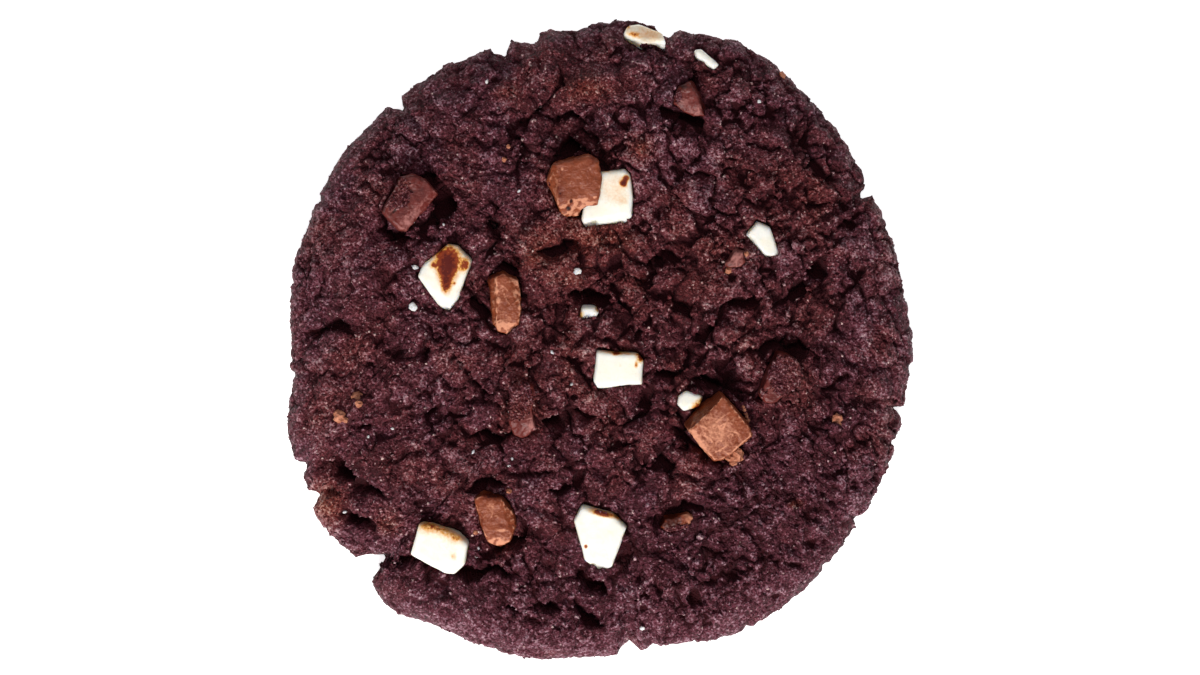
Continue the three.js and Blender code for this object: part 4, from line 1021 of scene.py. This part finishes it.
MILK_CHIPS = [
    [20.8, -18.3, 2.6], [21.9, -18.4, 2.2], [21.4, -19.5, 1.4], [22.6, -10.2, 0.6], [22.9, -10.7, 0.6],
    [23.1, -11.2, 0.7], [23.3, -11.7, 0.7], [23.5, -12.2, 0.7], [23.7, -12.8, 0.6], [29.3, 42.2, 1.4],
    [-38.6, -9.1, 1.5], [-38.2, -10.2, 1.1], [-41.3, -12.3, 1.8], [-40.4, -12.8, 1.2], [38.0, -12.6, 1.5],
    [38.2, -13.4, 1.0], [-14.4, 30.7, 0.9], [-15.1, 28.6, 0.8], [-19.4, -26.8, 1.5], [-19.0, -27.5, 1.0],
    [-14.3, -24.1, 1.1], [-19.6, -30.6, 0.8], [20.6, 11.0, 1.2], [23.4, 13.6, 0.8], [-12.3, 12.0, 0.8],
]


def chip_piece(name, chips, material, seed):
    """Flat shards of one kind that lie in the crust."""
    rng = np.random.default_rng(seed)
    top_points = points[part == 0]
    places = []
    for x, y, length in chips:
        near = np.argmin(np.hypot(top_points[:, 0] - x, top_points[:, 1] - y))
        places.append([x, y, top_points[near, 2] + 0.12 * length])
    shards, faces = stones(np.array(places), np.array(chips)[:, 2], rounder(STONE), rng, uneven=0.22)
    piece = mesh_piece(name, shards, faces, smooth=False)
    note(piece, "browned", np.full(len(shards), 0.12))
    note(piece, "pale", np.full(len(shards), 0.5))
    piece.data.materials.append(material)
    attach(piece, "root")


chip_piece("white_chips", WHITE_CHIPS, WHITE, 65)
chip_piece("milk_chips", MILK_CHIPS, MILK, 66)

# ------------------------------------------------------------------------------------------------
# The table: a plain white sheet under the cookie, a soft lamp low at the near side, a weaker one
# high on the far side, a pale room all round, and a camera straight above.
# ------------------------------------------------------------------------------------------------
TABLE_SIZE = 3.0
half = TABLE_SIZE / 2
table_mesh = bpy.data.meshes.new("table")
table_corners = [(-half, -half, 0), (half, -half, 0), (half, half, 0), (-half, half, 0)]
table_mesh.from_pydata(table_corners, [], [(0, 1, 2, 3)])
table = bpy.data.objects.new("table", table_mesh)
table.location.z = -0.1 * MM
bpy.context.scene.collection.objects.link(table)
white_sheet, tree = new_material("white_sheet")
shader = add(tree, "BsdfPrincipled", {
    "Base Color": paint(0xFAFAFA), "Roughness": 0.9, "Emission Color": paint(0xFFFFFF),
    "Emission Strength": 0.8})
add(tree, "OutputMaterial", {0: shader})
table_mesh.materials.append(white_sheet)

world = bpy.data.worlds.new("room")
world.use_nodes = True
walls = world.node_tree.nodes["Background"]
walls.inputs["Color"].default_value = (0.93, 0.92, 1.0, 1)
walls.inputs["Strength"].default_value = 0.13
bpy.context.scene.world = world


def lamp(name, place, size, power, colour):
    """A soft square lamp that faces the cookie, with its place and size in metres."""
    data = bpy.data.lights.new(name, "AREA")
    data.size = size
    data.energy = power
    data.color = colour
    light = bpy.data.objects.new(name, data)
    light.location = place
    light.rotation_euler = (-Vector(place)).to_track_quat("-Z", "Y").to_euler()
    bpy.context.scene.collection.objects.link(light)


lamp("near_window", (-0.12, -0.75, 0.62), size=0.28, power=12, colour=(1.0, 0.97, 0.95))
lamp("overhead", (0.1, 0.35, 0.95), size=0.6, power=2.7, colour=(0.95, 0.95, 1.0))

# The frame is 192 mm wide at the widest part of the rim, and its middle lies just beside the cookie's
CAMERA_HEIGHT = 0.9
FRAME_WIDTH = 192.31
FRAME_MIDDLE = (0.16, 0.32)
SENSOR = 36.0
camera_data = bpy.data.cameras.new("camera")
camera_data.sensor_width = SENSOR
camera_data.lens = SENSOR * (CAMERA_HEIGHT - WIDEST_HEIGHT * MM) / (FRAME_WIDTH * MM)
camera = bpy.data.objects.new("camera", camera_data)
camera.location = (FRAME_MIDDLE[0] * MM, FRAME_MIDDLE[1] * MM, CAMERA_HEIGHT)
bpy.context.scene.collection.objects.link(camera)
bpy.context.scene.camera = camera
bpy.context.scene.view_settings.view_transform = "Standard"
